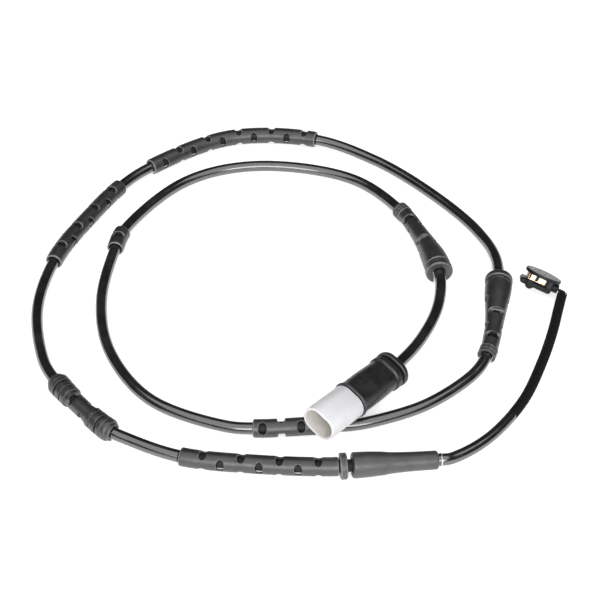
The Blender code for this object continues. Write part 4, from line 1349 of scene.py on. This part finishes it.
@dataclass
class Splice:
    """Moulded splice body with a small inspection hole, and the bright ring at its tail end."""

    rubber: Material
    tin: Material
    large_r: float = 4.7 * MM
    mid_r: float = 3.65 * MM
    small_r: float = 3.4 * MM
    rounding: float = 0.8 * MM
    hole_r: float = 0.6 * MM
    hole_from_end: float = 4.0 * MM
    hole_turn: float = math.radians(25)
    ring_r: float = 2.52 * MM
    ring_bore: float = 2.32 * MM
    ring_width: float = 0.5 * MM
    ring_wave: float = 0.14 * MM
    edge_round: float = 0.12 * MM
    ring_round: float = 0.04 * MM
    gap: float = 0.3 * MM
    sides: int = 56

    def profile(self, length: float) -> list[tuple[float, float]]:
        """Outer profile: rounded ends, a full cable end and a slim waist."""
        large, middle, small, rounding = self.large_r, self.mid_r, self.small_r, self.rounding
        taper = (
            (0.12, large * 0.99), (0.20, large * 0.97), (0.28, large * 0.935),
            (0.36, (large + middle) / 2 + 0.05 * MM), (0.44, middle + 0.22 * MM), (0.52, middle + 0.05 * MM),
            (0.64, middle - 0.10 * MM), (0.78, small + 0.04 * MM),
        )
        return [
            *arc((rounding, large - rounding), rounding, 180, 90, 4),
            *((length * share, radius) for share, radius in taper),
            *arc((length - rounding, small - rounding), rounding, 90, 0, 4),
        ]

    def body(self, place: Matrix, length: float) -> None:
        """The rubber body with its hole."""
        bore = [(0.0, CABLE_BORE), (length, TAIL_BORE)]
        body = turned(self.profile(length), bore, 1.5 * MM, self.sides)
        reach = self.small_r + 1.0 * MM
        aim = Matrix.Rotation(self.hole_turn, 4, "Z") @ QUARTER_Y
        hole = Matrix.Translation((0.0, 0.0, length - self.hole_from_end)) @ aim
        tool = rod(hole @ Matrix.Translation((0.0, 0.0, reach / 2)), self.hole_r, reach, 20)
        mesh = carve(body, [(tool, Cut.TAKE)], self.edge_round)
        dress(mesh, "splice_body", [self.rubber], place)

    def ring(self, place: Matrix, start: float) -> None:
        """The bright ring, a little bent."""
        end = start + self.ring_width
        low, edge = self.ring_r - 0.1 * MM, 0.12 * MM
        profile = [(start, low), (start + edge, self.ring_r), (end - edge, self.ring_r), (end, low)]
        body = turned(profile, [(start, self.ring_bore), (end, self.ring_bore)], 0.4 * MM, 60)
        mesh = carve(body, [], self.ring_round)
        for vertex in mesh.vertices:
            angle = math.atan2(vertex.co.y, vertex.co.x)
            vertex.co.z += self.ring_wave * math.sin(7 * angle) * math.sin(2 * angle)
        dress(mesh, "tail_ring", [self.tin], place)

    def build(self) -> None:
        """Make the body and the ring."""
        place = splice_matrix()
        length = (SPLICE_END - SPLICE_START).length
        self.body(place, length)
        self.ring(place, length + self.gap + TAIL_RING_WIDTH - self.ring_width)


class StrandTree(NodeSketch):
    """Geometry Nodes that lay twisted yarns round a straight axis, over and under each other."""

    YARN_SIDES = 5

    def __init__(self, name: str, material: Material) -> None:
        """Build the tree.

        Args:
            name: The tree's name.
            material: The yarns' finish.
        """
        self.tree = bpy.data.node_groups.new(name, "GeometryNodeTree")
        self.inputs: dict[str, str] = {}
        for way in ("INPUT", "OUTPUT"):
            self.tree.interface.new_socket("Geometry", in_out=way, socket_type="NodeSocketGeometry")
        for key in ("Length", "Radius", "Yarn Radius", "Pitch", "Weave", "Start"):
            self.add_input(key, "NodeSocketFloat")
        for key in ("Yarns", "Steps", "Turn"):
            self.add_input(key, "NodeSocketInt")
        self.wire(material)

    def add_input(self, key: str, kind: str) -> None:
        """Add a named input and remember its identifier."""
        made = self.tree.interface.new_socket(key, in_out="INPUT", socket_type=kind)
        self.inputs[key] = made.identifier

    def wire(self, material: Material) -> None:
        """Connect the nodes.

        Args:
            material: The yarns' finish.
        """
        given = self.node("NodeGroupInput").outputs
        top = self.step("ShaderNodeCombineXYZ", "Vector", {"Z": given["Length"]})
        line = self.step("GeometryNodeCurvePrimitiveLine", "Curve", {"End": top})
        line = self.step("GeometryNodeResampleCurve", "Curve", {"Curve": line, "Count": given["Steps"]})
        copies = self.node("GeometryNodeDuplicateElements", domain="SPLINE")
        self.feed(copies.inputs["Geometry"], line)
        self.feed(copies.inputs["Amount"], given["Yarns"])
        number = copies.outputs["Duplicate Index"]
        share = self.node("GeometryNodeSplineParameter").outputs["Factor"]
        along = self.math("MULTIPLY", share, given["Length"])
        pitches = self.math("DIVIDE", along, given["Pitch"])
        offset = self.math("DIVIDE", number, given["Yarns"])
        laps = self.math("MULTIPLY", pitches, given["Turn"])
        angle = self.math("MULTIPLY", self.math("ADD", laps, offset), math.tau)
        crossings = self.math("MULTIPLY", pitches, given["Yarns"])
        parity = self.math("MULTIPLY", self.math("ADD", crossings, number), math.pi)
        phase = self.math("ADD", parity, self.math("MULTIPLY", given["Turn"], math.pi / 2))
        swing = self.math("MULTIPLY", self.math("SINE", phase), given["Weave"])
        radius = self.math("ADD", given["Radius"], swing)
        place = self.step("ShaderNodeCombineXYZ", "Vector", {
            "X": self.math("MULTIPLY", radius, self.math("COSINE", angle)),
            "Y": self.math("MULTIPLY", radius, self.math("SINE", angle)),
            "Z": self.math("ADD", along, given["Start"])})
        moved = self.step("GeometryNodeSetPosition", "Geometry", {
            "Geometry": copies.outputs["Geometry"], "Position": place})
        section = self.step("GeometryNodeCurvePrimitiveCircle", "Curve", {
            "Resolution": self.YARN_SIDES, "Radius": given["Yarn Radius"]})
        solid = self.step("GeometryNodeCurveToMesh", "Mesh", {
            "Curve": moved, "Profile Curve": section, "Fill Caps": True})
        real = self.step("GeometryNodeRealizeInstances", "Geometry", {"Geometry": solid})
        dressed = self.step("GeometryNodeSetMaterial", "Geometry", {"Geometry": real, "Material": material})
        self.feed(self.node("NodeGroupOutput").inputs["Geometry"], dressed)

    def make(self, **values: float) -> Mesh:
        """Run the tree with the given sizes.

        Args:
            values: Input values, named with underscores for spaces.

        Returns:
            The yarns as one mesh.
        """
        host = linked("scratch", bpy.data.meshes.new("yarns"))
        modifier = host.modifiers.new("yarns", "NODES")
        modifier.node_group = self.tree
        for key, value in values.items():
            modifier[self.inputs[key.replace("_", " ")]] = value
        return bake(host)


@dataclass
class TailRun:
    """The tail: a smooth glossy stretch out of the splice, then an open braid up to the head."""

    jacket: Material
    braid: Material
    radius: float = TAIL_R
    core_gap: float = 0.38 * MM
    flare: float = 0.22 * MM
    yarn_radius: float = 0.17 * MM
    yarn_step: float = 0.45 * MM
    weave: float = 0.07 * MM
    pitch: float = 11.0 * MM
    yarns: int = 12
    fade: float = 1.2 * MM
    flare_share: float = 0.7
    ring_step: float = 0.6 * MM
    cord_step: float = 2 * MM
    sides: int = 24
    path: Path = field(init=False)

    def __post_init__(self) -> None:
        """Lay the tail's line."""
        splice, head = splice_matrix(), head_matrix()
        length = (SPLICE_END - SPLICE_START).length
        exit_z = length + TAIL_RING_WIDTH + EXIT_LENGTH
        first = [splice @ Vector((0.0, 0.0, z)) for z in (length - SPLICE_ENTRY, exit_z)]
        mouth = head @ TAIL_MOUTH
        last = [mouth.lerp(Vector(TAIL_ROUTE[-1]) - LAYOUT_SHIFT, 0.3), mouth]
        route = [Vector(point) - LAYOUT_SHIFT for point in TAIL_ROUTE]
        self.path = Path(first + route + last, CAD_TAIL_STEP, self.radius)

    def outer_radius(self, station: float) -> float:
        """Radius of the jacket, and of the braid's core past the jacket's end."""
        core = self.radius - self.core_gap
        share = min(max((station - TAIL_JACKET_LENGTH) / self.fade, 0.0), 1.0)
        flare = min(max(1.0 - station / (self.flare_share * TAIL_JACKET_LENGTH), 0.0), 1.0)
        return self.radius + (core - self.radius) * share + self.flare * flare

    def build(self) -> None:
        end = self.path.length
        core = tube(self.path, 0.0, end - self.fade, self.outer_radius, self.ring_step, self.sides)
        bm = bmesh.new()
        bm.from_mesh(core)
        for face in bm.faces:
            middle = sum((v.co for v in face.verts), Vector()) / len(face.verts)
            on_jacket = (middle - self.path.points[0]).length < TAIL_JACKET_LENGTH * 0.985
            face.material_index = 0 if on_jacket else 1
        yarns = StrandTree("tail_yarns", self.braid)
        length = (end - TAIL_JACKET_LENGTH) / self.path.stretch
        start = (TAIL_JACKET_LENGTH - 0.3 * MM) / self.path.stretch
        core_r = self.radius - self.core_gap + self.yarn_radius - 0.5 * self.weave
        for turn in (1, -1):
            strand = yarns.make(
                Length=length, Radius=core_r, Yarn_Radius=self.yarn_radius, Pitch=self.pitch,
                Weave=self.weave, Start=start, Yarns=self.yarns, Steps=int(length / self.yarn_step),
                Turn=turn)
            self.path.bend(strand)
            first_new = len(bm.faces)
            bm.from_mesh(strand)
            bm.faces.ensure_lookup_table()
            for face in bm.faces[first_new:]:
                face.material_index = 1
        mesh = bpy.data.meshes.new("tail")
        bm.to_mesh(mesh)
        bm.free()
        piece = publish(mesh, "braided_tail", [self.jacket, self.braid])
        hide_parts("tail_jacket", "braided_sleeve")
        self.path.stretch_points(0.0, end, self.cord_step)


# The connector


def grown(z: float, half: Sequence[float], growth: float = 0.0) -> Section:
    """One section of a loft: its distance, and its half sizes made larger by growth."""
    return (z, half[0] + growth, half[1] + growth)


@dataclass
class Connector:
    """White oval socket with its black rubber boot."""

    palette: Palette
    boot_length: float = 27.9 * MM
    boot_half: tuple[float, float] = (6.75 * MM, 4.9 * MM)
    lip: float = 0.65 * MM
    lip_length: float = 1.5 * MM
    flange: float = 0.6 * MM
    flange_length: float = 2.2 * MM
    groove: float = 1.4 * MM
    groove_length: float = 1.5 * MM
    collar: float = 0.45 * MM
    collar_length: float = 2.8 * MM
    waist: float = 0.2 * MM
    shell_half: tuple[float, float] = (6.93 * MM, 4.95 * MM)
    shell_wall: float = 1.1 * MM
    shell_tail: tuple[float, float] = (5.6 * MM, 3.75 * MM)
    shell_tail_wall: float = 0.9 * MM
    shell_rear: float = 8.0 * MM
    floor: float = 27.4 * MM
    bore_length: float = 5.6 * MM
    swell: float = 0.18 * MM
    rim: float = 0.3 * MM
    boot_round: float = 0.14 * MM
    shell_round: float = 0.12 * MM
    gap: float = 0.3 * MM
    segments: int = 24

    def boot(self) -> None:
        """The rubber boot with its lip, collar, groove and flange."""
        half = self.boot_half
        groove_start = self.flange_length
        groove_end = groove_start + self.groove_length
        collar_end = groove_end + self.collar_length
        lip_start = self.boot_length - self.lip_length
        cavity = (self.shell_tail[0] + self.gap, self.shell_tail[1] + self.gap)
        body = []
        for i in range(9):
            share = i / 8
            swell = self.swell * math.sin(math.pi * share) - self.waist * (1 - share) ** 2
            body.append(grown(collar_end + (lip_start - collar_end) * share, half, swell))
        sections = [
            grown(0.0, half, self.flange - 0.5 * MM),
            grown(0.2 * MM, half, self.flange - 0.15 * MM),
            grown(0.5 * MM, half, self.flange),
            grown(groove_start - self.rim, half, self.flange),
            grown(groove_start, half, self.flange - self.rim),
            grown(groove_start, half, -self.groove),
            grown(groove_end, half, -self.groove),
            grown(groove_end, half, self.collar - self.rim),
            grown(groove_end + self.rim, half, self.collar),
            grown(collar_end - self.rim, half, self.collar),
            *body,
            grown(lip_start + 0.3 * MM, half, self.lip - 0.1 * MM),
            grown(lip_start + 0.6 * MM, half, self.lip),
            grown(self.boot_length - 0.35 * MM, half, self.lip),
            grown(self.boot_length, half, self.lip - 0.35 * MM),
            grown(self.boot_length, cavity),
            grown(self.shell_rear - 1.0 * MM, cavity),
            grown(self.bore_length, (CABLE_BORE, CABLE_BORE)),
            grown(0.0, (CABLE_BORE, CABLE_BORE)),
        ]
        mesh = carve(oval_loft(sections, self.segments), [], self.boot_round)
        dress(mesh, "connector_boot", [self.palette.boot], connector_matrix())

    def shell(self, length: float) -> None:
        """The white shell: a rounded rim, the socket's cavity and a tail inside the boot."""
        shoulder = self.boot_length + self.gap
        inner_tail = [half - self.shell_tail_wall for half in self.shell_tail]
        sections = [
            grown(self.shell_rear, self.shell_tail),
            grown(shoulder, self.shell_tail),
            grown(shoulder, self.shell_half, -self.rim),
            grown(shoulder + self.rim, self.shell_half),
            grown(length - 0.35 * MM, self.shell_half),
            grown(length - 0.1 * MM, self.shell_half, -0.12 * MM),
            grown(length, self.shell_half, -0.35 * MM),
            grown(length, self.shell_half, -self.shell_wall + 0.15 * MM),
            grown(length - 0.4 * MM, self.shell_half, -self.shell_wall),
            grown(self.floor + 1.0 * MM, self.shell_half, -self.shell_wall),
            grown(self.floor, inner_tail),
            grown(self.shell_rear, inner_tail),
        ]
        mesh = carve(oval_loft(sections, self.segments), [], self.shell_round)
        for face in mesh.polygons:
            # Painted shade: faces that point inwards, into the cavity and tail, take the greyer inside
            # material.
            face.material_index = int(face.normal.xy.dot(face.center.xy) < -0.001 * MM)
        mats = [self.palette.white, self.palette.inside]
        dress(mesh, "connector_shell", mats, connector_matrix())

    def build(self) -> None:
        """Make the boot and the shell."""
        self.boot()
        self.shell((CONNECTOR_RIM - CONNECTOR_REAR).length)


# The sensor head


@dataclass
class SensorHead:
    """Moulded head: a thin plate, a waist with its brass clip, a foot, and an ear for the lead."""

    palette: Palette
    plate_x: float = 1.45 * MM
    plate_half: tuple[float, float] = (7.45 * MM, 6.3 * MM)
    plate_sides: int = 72
    plate_top: float = 3.1 * MM
    plate_thick: float = 1.3 * MM
    waist_half: float = 3.0 * MM
    waist_left: float = -4.0 * MM
    waist_right: float = 3.9 * MM
    neck_right: float = 6.2 * MM
    foot_left: float = -6.6 * MM
    foot_right: float = 6.5 * MM
    foot_half: float = 4.0 * MM
    foot_top: float = -1.0 * MM
    foot_bottom: float = -3.4 * MM
    clip_thick: float = 0.35 * MM
    clip_right: float = 3.1 * MM
    gap: float = 0.3 * MM
    overcut: float = 1.0 * MM
    neck_growth: float = 0.6 * MM
    foot_round: float = 1.15 * MM
    waist_round: float = 0.4 * MM
    neck_round: float = 0.35 * MM
    plate_round: float = 0.16 * MM
    body_round: float = 0.15 * MM
    clip_corner: float = 0.8 * MM
    clip_round: float = 0.06 * MM
    ear_y: float = -1.0 * MM
    ear_z: float = -0.35 * MM
    ear_end: float = 8.8 * MM
    ear_r: float = 1.8 * MM
    ear_bore: float = 1.15 * MM
    bulge_x: float = -2.4 * MM
    bulge_r: float = 1.8 * MM
    bulge_length: float = 3.4 * MM
    pin_x: float = -3.9 * MM
    pin_z: float = -1.9 * MM
    pin_r: float = 0.35 * MM
    clip_slots: Profile = ((-0.6 * MM, 1.3 * MM), (-3.5 * MM, 0.7 * MM))

    def plate(self) -> None:
        """The thin round plate, with a scuffed upper face that also carries painted light."""
        outline = []
        for i in range(self.plate_sides):
            angle = math.tau * i / self.plate_sides
            x = self.plate_x + self.plate_half[0] * math.cos(angle)
            outline.append((x, self.plate_half[1] * math.sin(angle)))
        mesh = slab(outline, self.plate_top - self.plate_thick, self.plate_top)
        mesh = carve(mesh, [], self.plate_round)
        for face in mesh.polygons:
            # Upward faces get the scuffed face with painted light; the rest is plain head plastic.
            face.material_index = 1 if face.normal.z > 0.9 else 0
        mesh.transform(head_matrix())
        publish(mesh, "sensor_plate", [self.palette.head, self.palette.face])

    def body(self) -> None:
        """Waist, neck, foot, bulge and ear as one moulding."""
        top = self.plate_top - self.plate_thick
        neck_half = self.waist_half + self.neck_growth
        foot = block(
            (self.foot_left, -self.foot_half, self.foot_bottom),
            (self.foot_right, self.foot_half, self.foot_top), self.foot_round)
        waist = block(
            (self.waist_left, -self.waist_half, self.foot_top - self.overcut),
            (self.waist_right + self.overcut, self.waist_half, top), self.waist_round)
        neck = block(
            (self.waist_right, -neck_half, self.foot_top - 0.8 * MM),
            (self.neck_right, neck_half, top - MERGE), self.neck_round)
        pocket = block(
            (self.foot_left + 0.5 * MM, -self.foot_half - 1.0 * MM, self.foot_bottom + 0.55 * MM),
            (self.foot_left + 1.9 * MM, -self.foot_half + 0.8 * MM, self.foot_top - 0.5 * MM))
        ear_middle = ((self.waist_right + self.ear_end) / 2, self.ear_y, self.ear_z)
        ear_length = self.ear_end - self.waist_right
        bulge_middle = (self.bulge_x, -2.0 * MM, self.foot_bottom + 0.8 * MM)
        rods = (
            (Cut.JOIN, bulge_middle, QUARTER_X, self.bulge_r, self.bulge_length, TOOL_SIDES),
            (Cut.JOIN, ear_middle, QUARTER_Y, self.ear_r, ear_length, TOOL_SIDES),
            (Cut.TAKE, (self.ear_end, self.ear_y, self.ear_z), QUARTER_Y, self.ear_bore, 6 * MM, TOOL_SIDES),
            (Cut.TAKE, (self.pin_x, -self.foot_half, self.pin_z), QUARTER_X, self.pin_r, 2 * MM, 16),
        )
        tools = [(waist, Cut.JOIN), (neck, Cut.JOIN)]
        for cut, middle, turn, radius, length, sides in rods:
            tools.append((rod(Matrix.Translation(middle) @ turn, radius, length, sides), cut))
        tools.append((pocket, Cut.TAKE))
        mesh = carve(foot, tools, self.body_round)
        dress(mesh, "sensor_body", [self.palette.head], head_matrix())

    def clip(self) -> None:
        """The brass strip bent round the waist, with its slots."""
        low, high = self.foot_top + self.gap, self.plate_top - self.plate_thick - self.gap
        inside = self.waist_half + self.gap
        corner = self.clip_corner
        left = self.waist_left - self.gap + corner
        outline = [
            (self.clip_right, -inside),
            *arc((left, -inside + corner), corner, 270, 180, 8),
            *arc((left, inside - corner), corner, 180, 90, 8),
            (self.clip_right, inside),
        ]
        bm = bmesh.new()
        lower, upper = ([bm.verts.new((x, y, z)) for x, y in outline] for z in (low, high))
        for i in range(len(outline) - 1):
            bm.faces.new((lower[i], upper[i], upper[i + 1], lower[i + 1]))
        mesh = bpy.data.meshes.new("clip")
        bm.to_mesh(mesh)
        bm.free()
        sheet = linked("scratch", mesh)
        wall = sheet.modifiers.new("sheet", "SOLIDIFY")
        wall.thickness = self.clip_thick
        wall.offset = 1.0
        wall.use_even_offset = True
        tools = []
        for middle, width in self.clip_slots:
            slot = block(
                (middle - width / 2, -inside - self.overcut, low + 0.25 * MM),
                (middle + width / 2, -inside + self.overcut, high + self.overcut))
            tools.append((slot, Cut.TAKE))
        mesh = carve(bake(sheet), tools, self.clip_round)
        dress(mesh, "spring_clip", [self.palette.brass], head_matrix())

    def build(self) -> None:
        """Make the head's pieces."""
        self.plate()
        self.body()
        self.clip()


# CAD nodes that stay


@dataclass
class InnerWorks:
    """Pieces inside the mouldings, which keep their CAD shape and get real finishes."""

    palette: Palette

    def build(self) -> None:
        """Give each remaining CAD node its material."""
        finishes = {
            "contact_carrier": self.palette.carrier,
            "contact_pin_left": self.palette.tin,
            "contact_pin_right": self.palette.tin,
            "splice_joint_left": self.palette.tin,
            "splice_joint_right": self.palette.tin,
            "connector_lead_left": self.palette.lead,
            "connector_lead_right": self.palette.lead,
            "wear_loop": self.palette.lead,
        }
        for node, mat in finishes.items():
            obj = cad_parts[node]
            for slot in obj.material_slots:
                slot.material = mat
            log.info("%s keeps its CAD mesh", node)


# The studio


@dataclass
class Studio:
    """Pale table, soft light and a camera at the photograph's angle."""

    elevation: float = math.radians(41.5)
    distance: float = 0.6975
    lens: float = 106.0
    sensor: float = 36.0
    table_half: float = 3.0
    sky_light: float = 0.05

    def camera(self) -> None:
        """Place the camera, which looks along +Y and down at the middle of the layout."""
        data = bpy.data.cameras.new("camera")
        data.lens = self.lens
        data.sensor_width = self.sensor
        data.clip_end = 20.0
        obj = linked("camera", data)
        back = Vector((0.0, -math.cos(self.elevation), math.sin(self.elevation))) * self.distance
        obj.location = back - LAYOUT_SHIFT
        obj.rotation_euler = (math.radians(90) - self.elevation, 0.0, 0.0)
        bpy.context.scene.camera = obj

    def table(self) -> None:
        """A large plain surface at the height that the sensor lies on."""
        half = self.table_half
        mesh = bpy.data.meshes.new("table")
        corners = [(-half, -half, 0), (half, -half, 0), (half, half, 0), (-half, half, 0)]
        mesh.from_pydata(corners, [], [(0, 1, 2, 3)])
        mesh.materials.append(TableTop().build())
        linked("table", mesh)

    def lamp(self, name: str, place: Sequence[float], size: Sequence[float], power: float) -> None:
        """A rectangular softbox that faces the middle of the table.

        Args:
            name: Its name.
            place: Where it hangs.
            size: Width and height.
            power: Watts.
        """
        data = bpy.data.lights.new(name, "AREA")
        data.shape = "RECTANGLE"
        data.size, data.size_y = size
        data.energy = power
        obj = linked(name, data)
        obj.location = place
        obj.rotation_euler = (-Vector(place)).to_track_quat("-Z", "Y").to_euler()

    def build(self) -> None:
        """Set up table, lights, surroundings and camera."""
        self.table()
        self.lamp("softbox_canopy", (0.0, -0.61, 1.37), (3.0, 3.0), 38.0)
        self.lamp("softbox_front", (0.0, -1.40, 0.62), (1.6, 0.8), 17.0)
        world = bpy.data.worlds.new("surroundings")
        world.use_nodes = True
        sky = world.node_tree.nodes["Background"]
        sky.inputs["Color"].default_value = (1.0, 1.0, 1.0, 1.0)
        sky.inputs["Strength"].default_value = self.sky_light
        bpy.context.scene.world = world
        bpy.context.scene.view_settings.view_transform = "Standard"
        self.camera()


def main() -> None:
    """Build the studio and every piece of the sensor in order."""
    logging.basicConfig(level=logging.INFO, format="%(message)s")
    Studio().build()
    palette = Palette()
    cable = CableRun(palette.jacket, palette.shaded_jacket)
    mouldings = SleeveSet(cable.path, palette.sleeve, palette.splice)
    cable.build(mouldings.covered())
    TailRun(palette.jacket, palette.braid).build()
    mouldings.build()
    Splice(palette.splice, palette.tin).build()
    Connector(palette).build()
    SensorHead(palette).build()
    InnerWorks(palette).build()


if __name__ == "__main__":
    main()
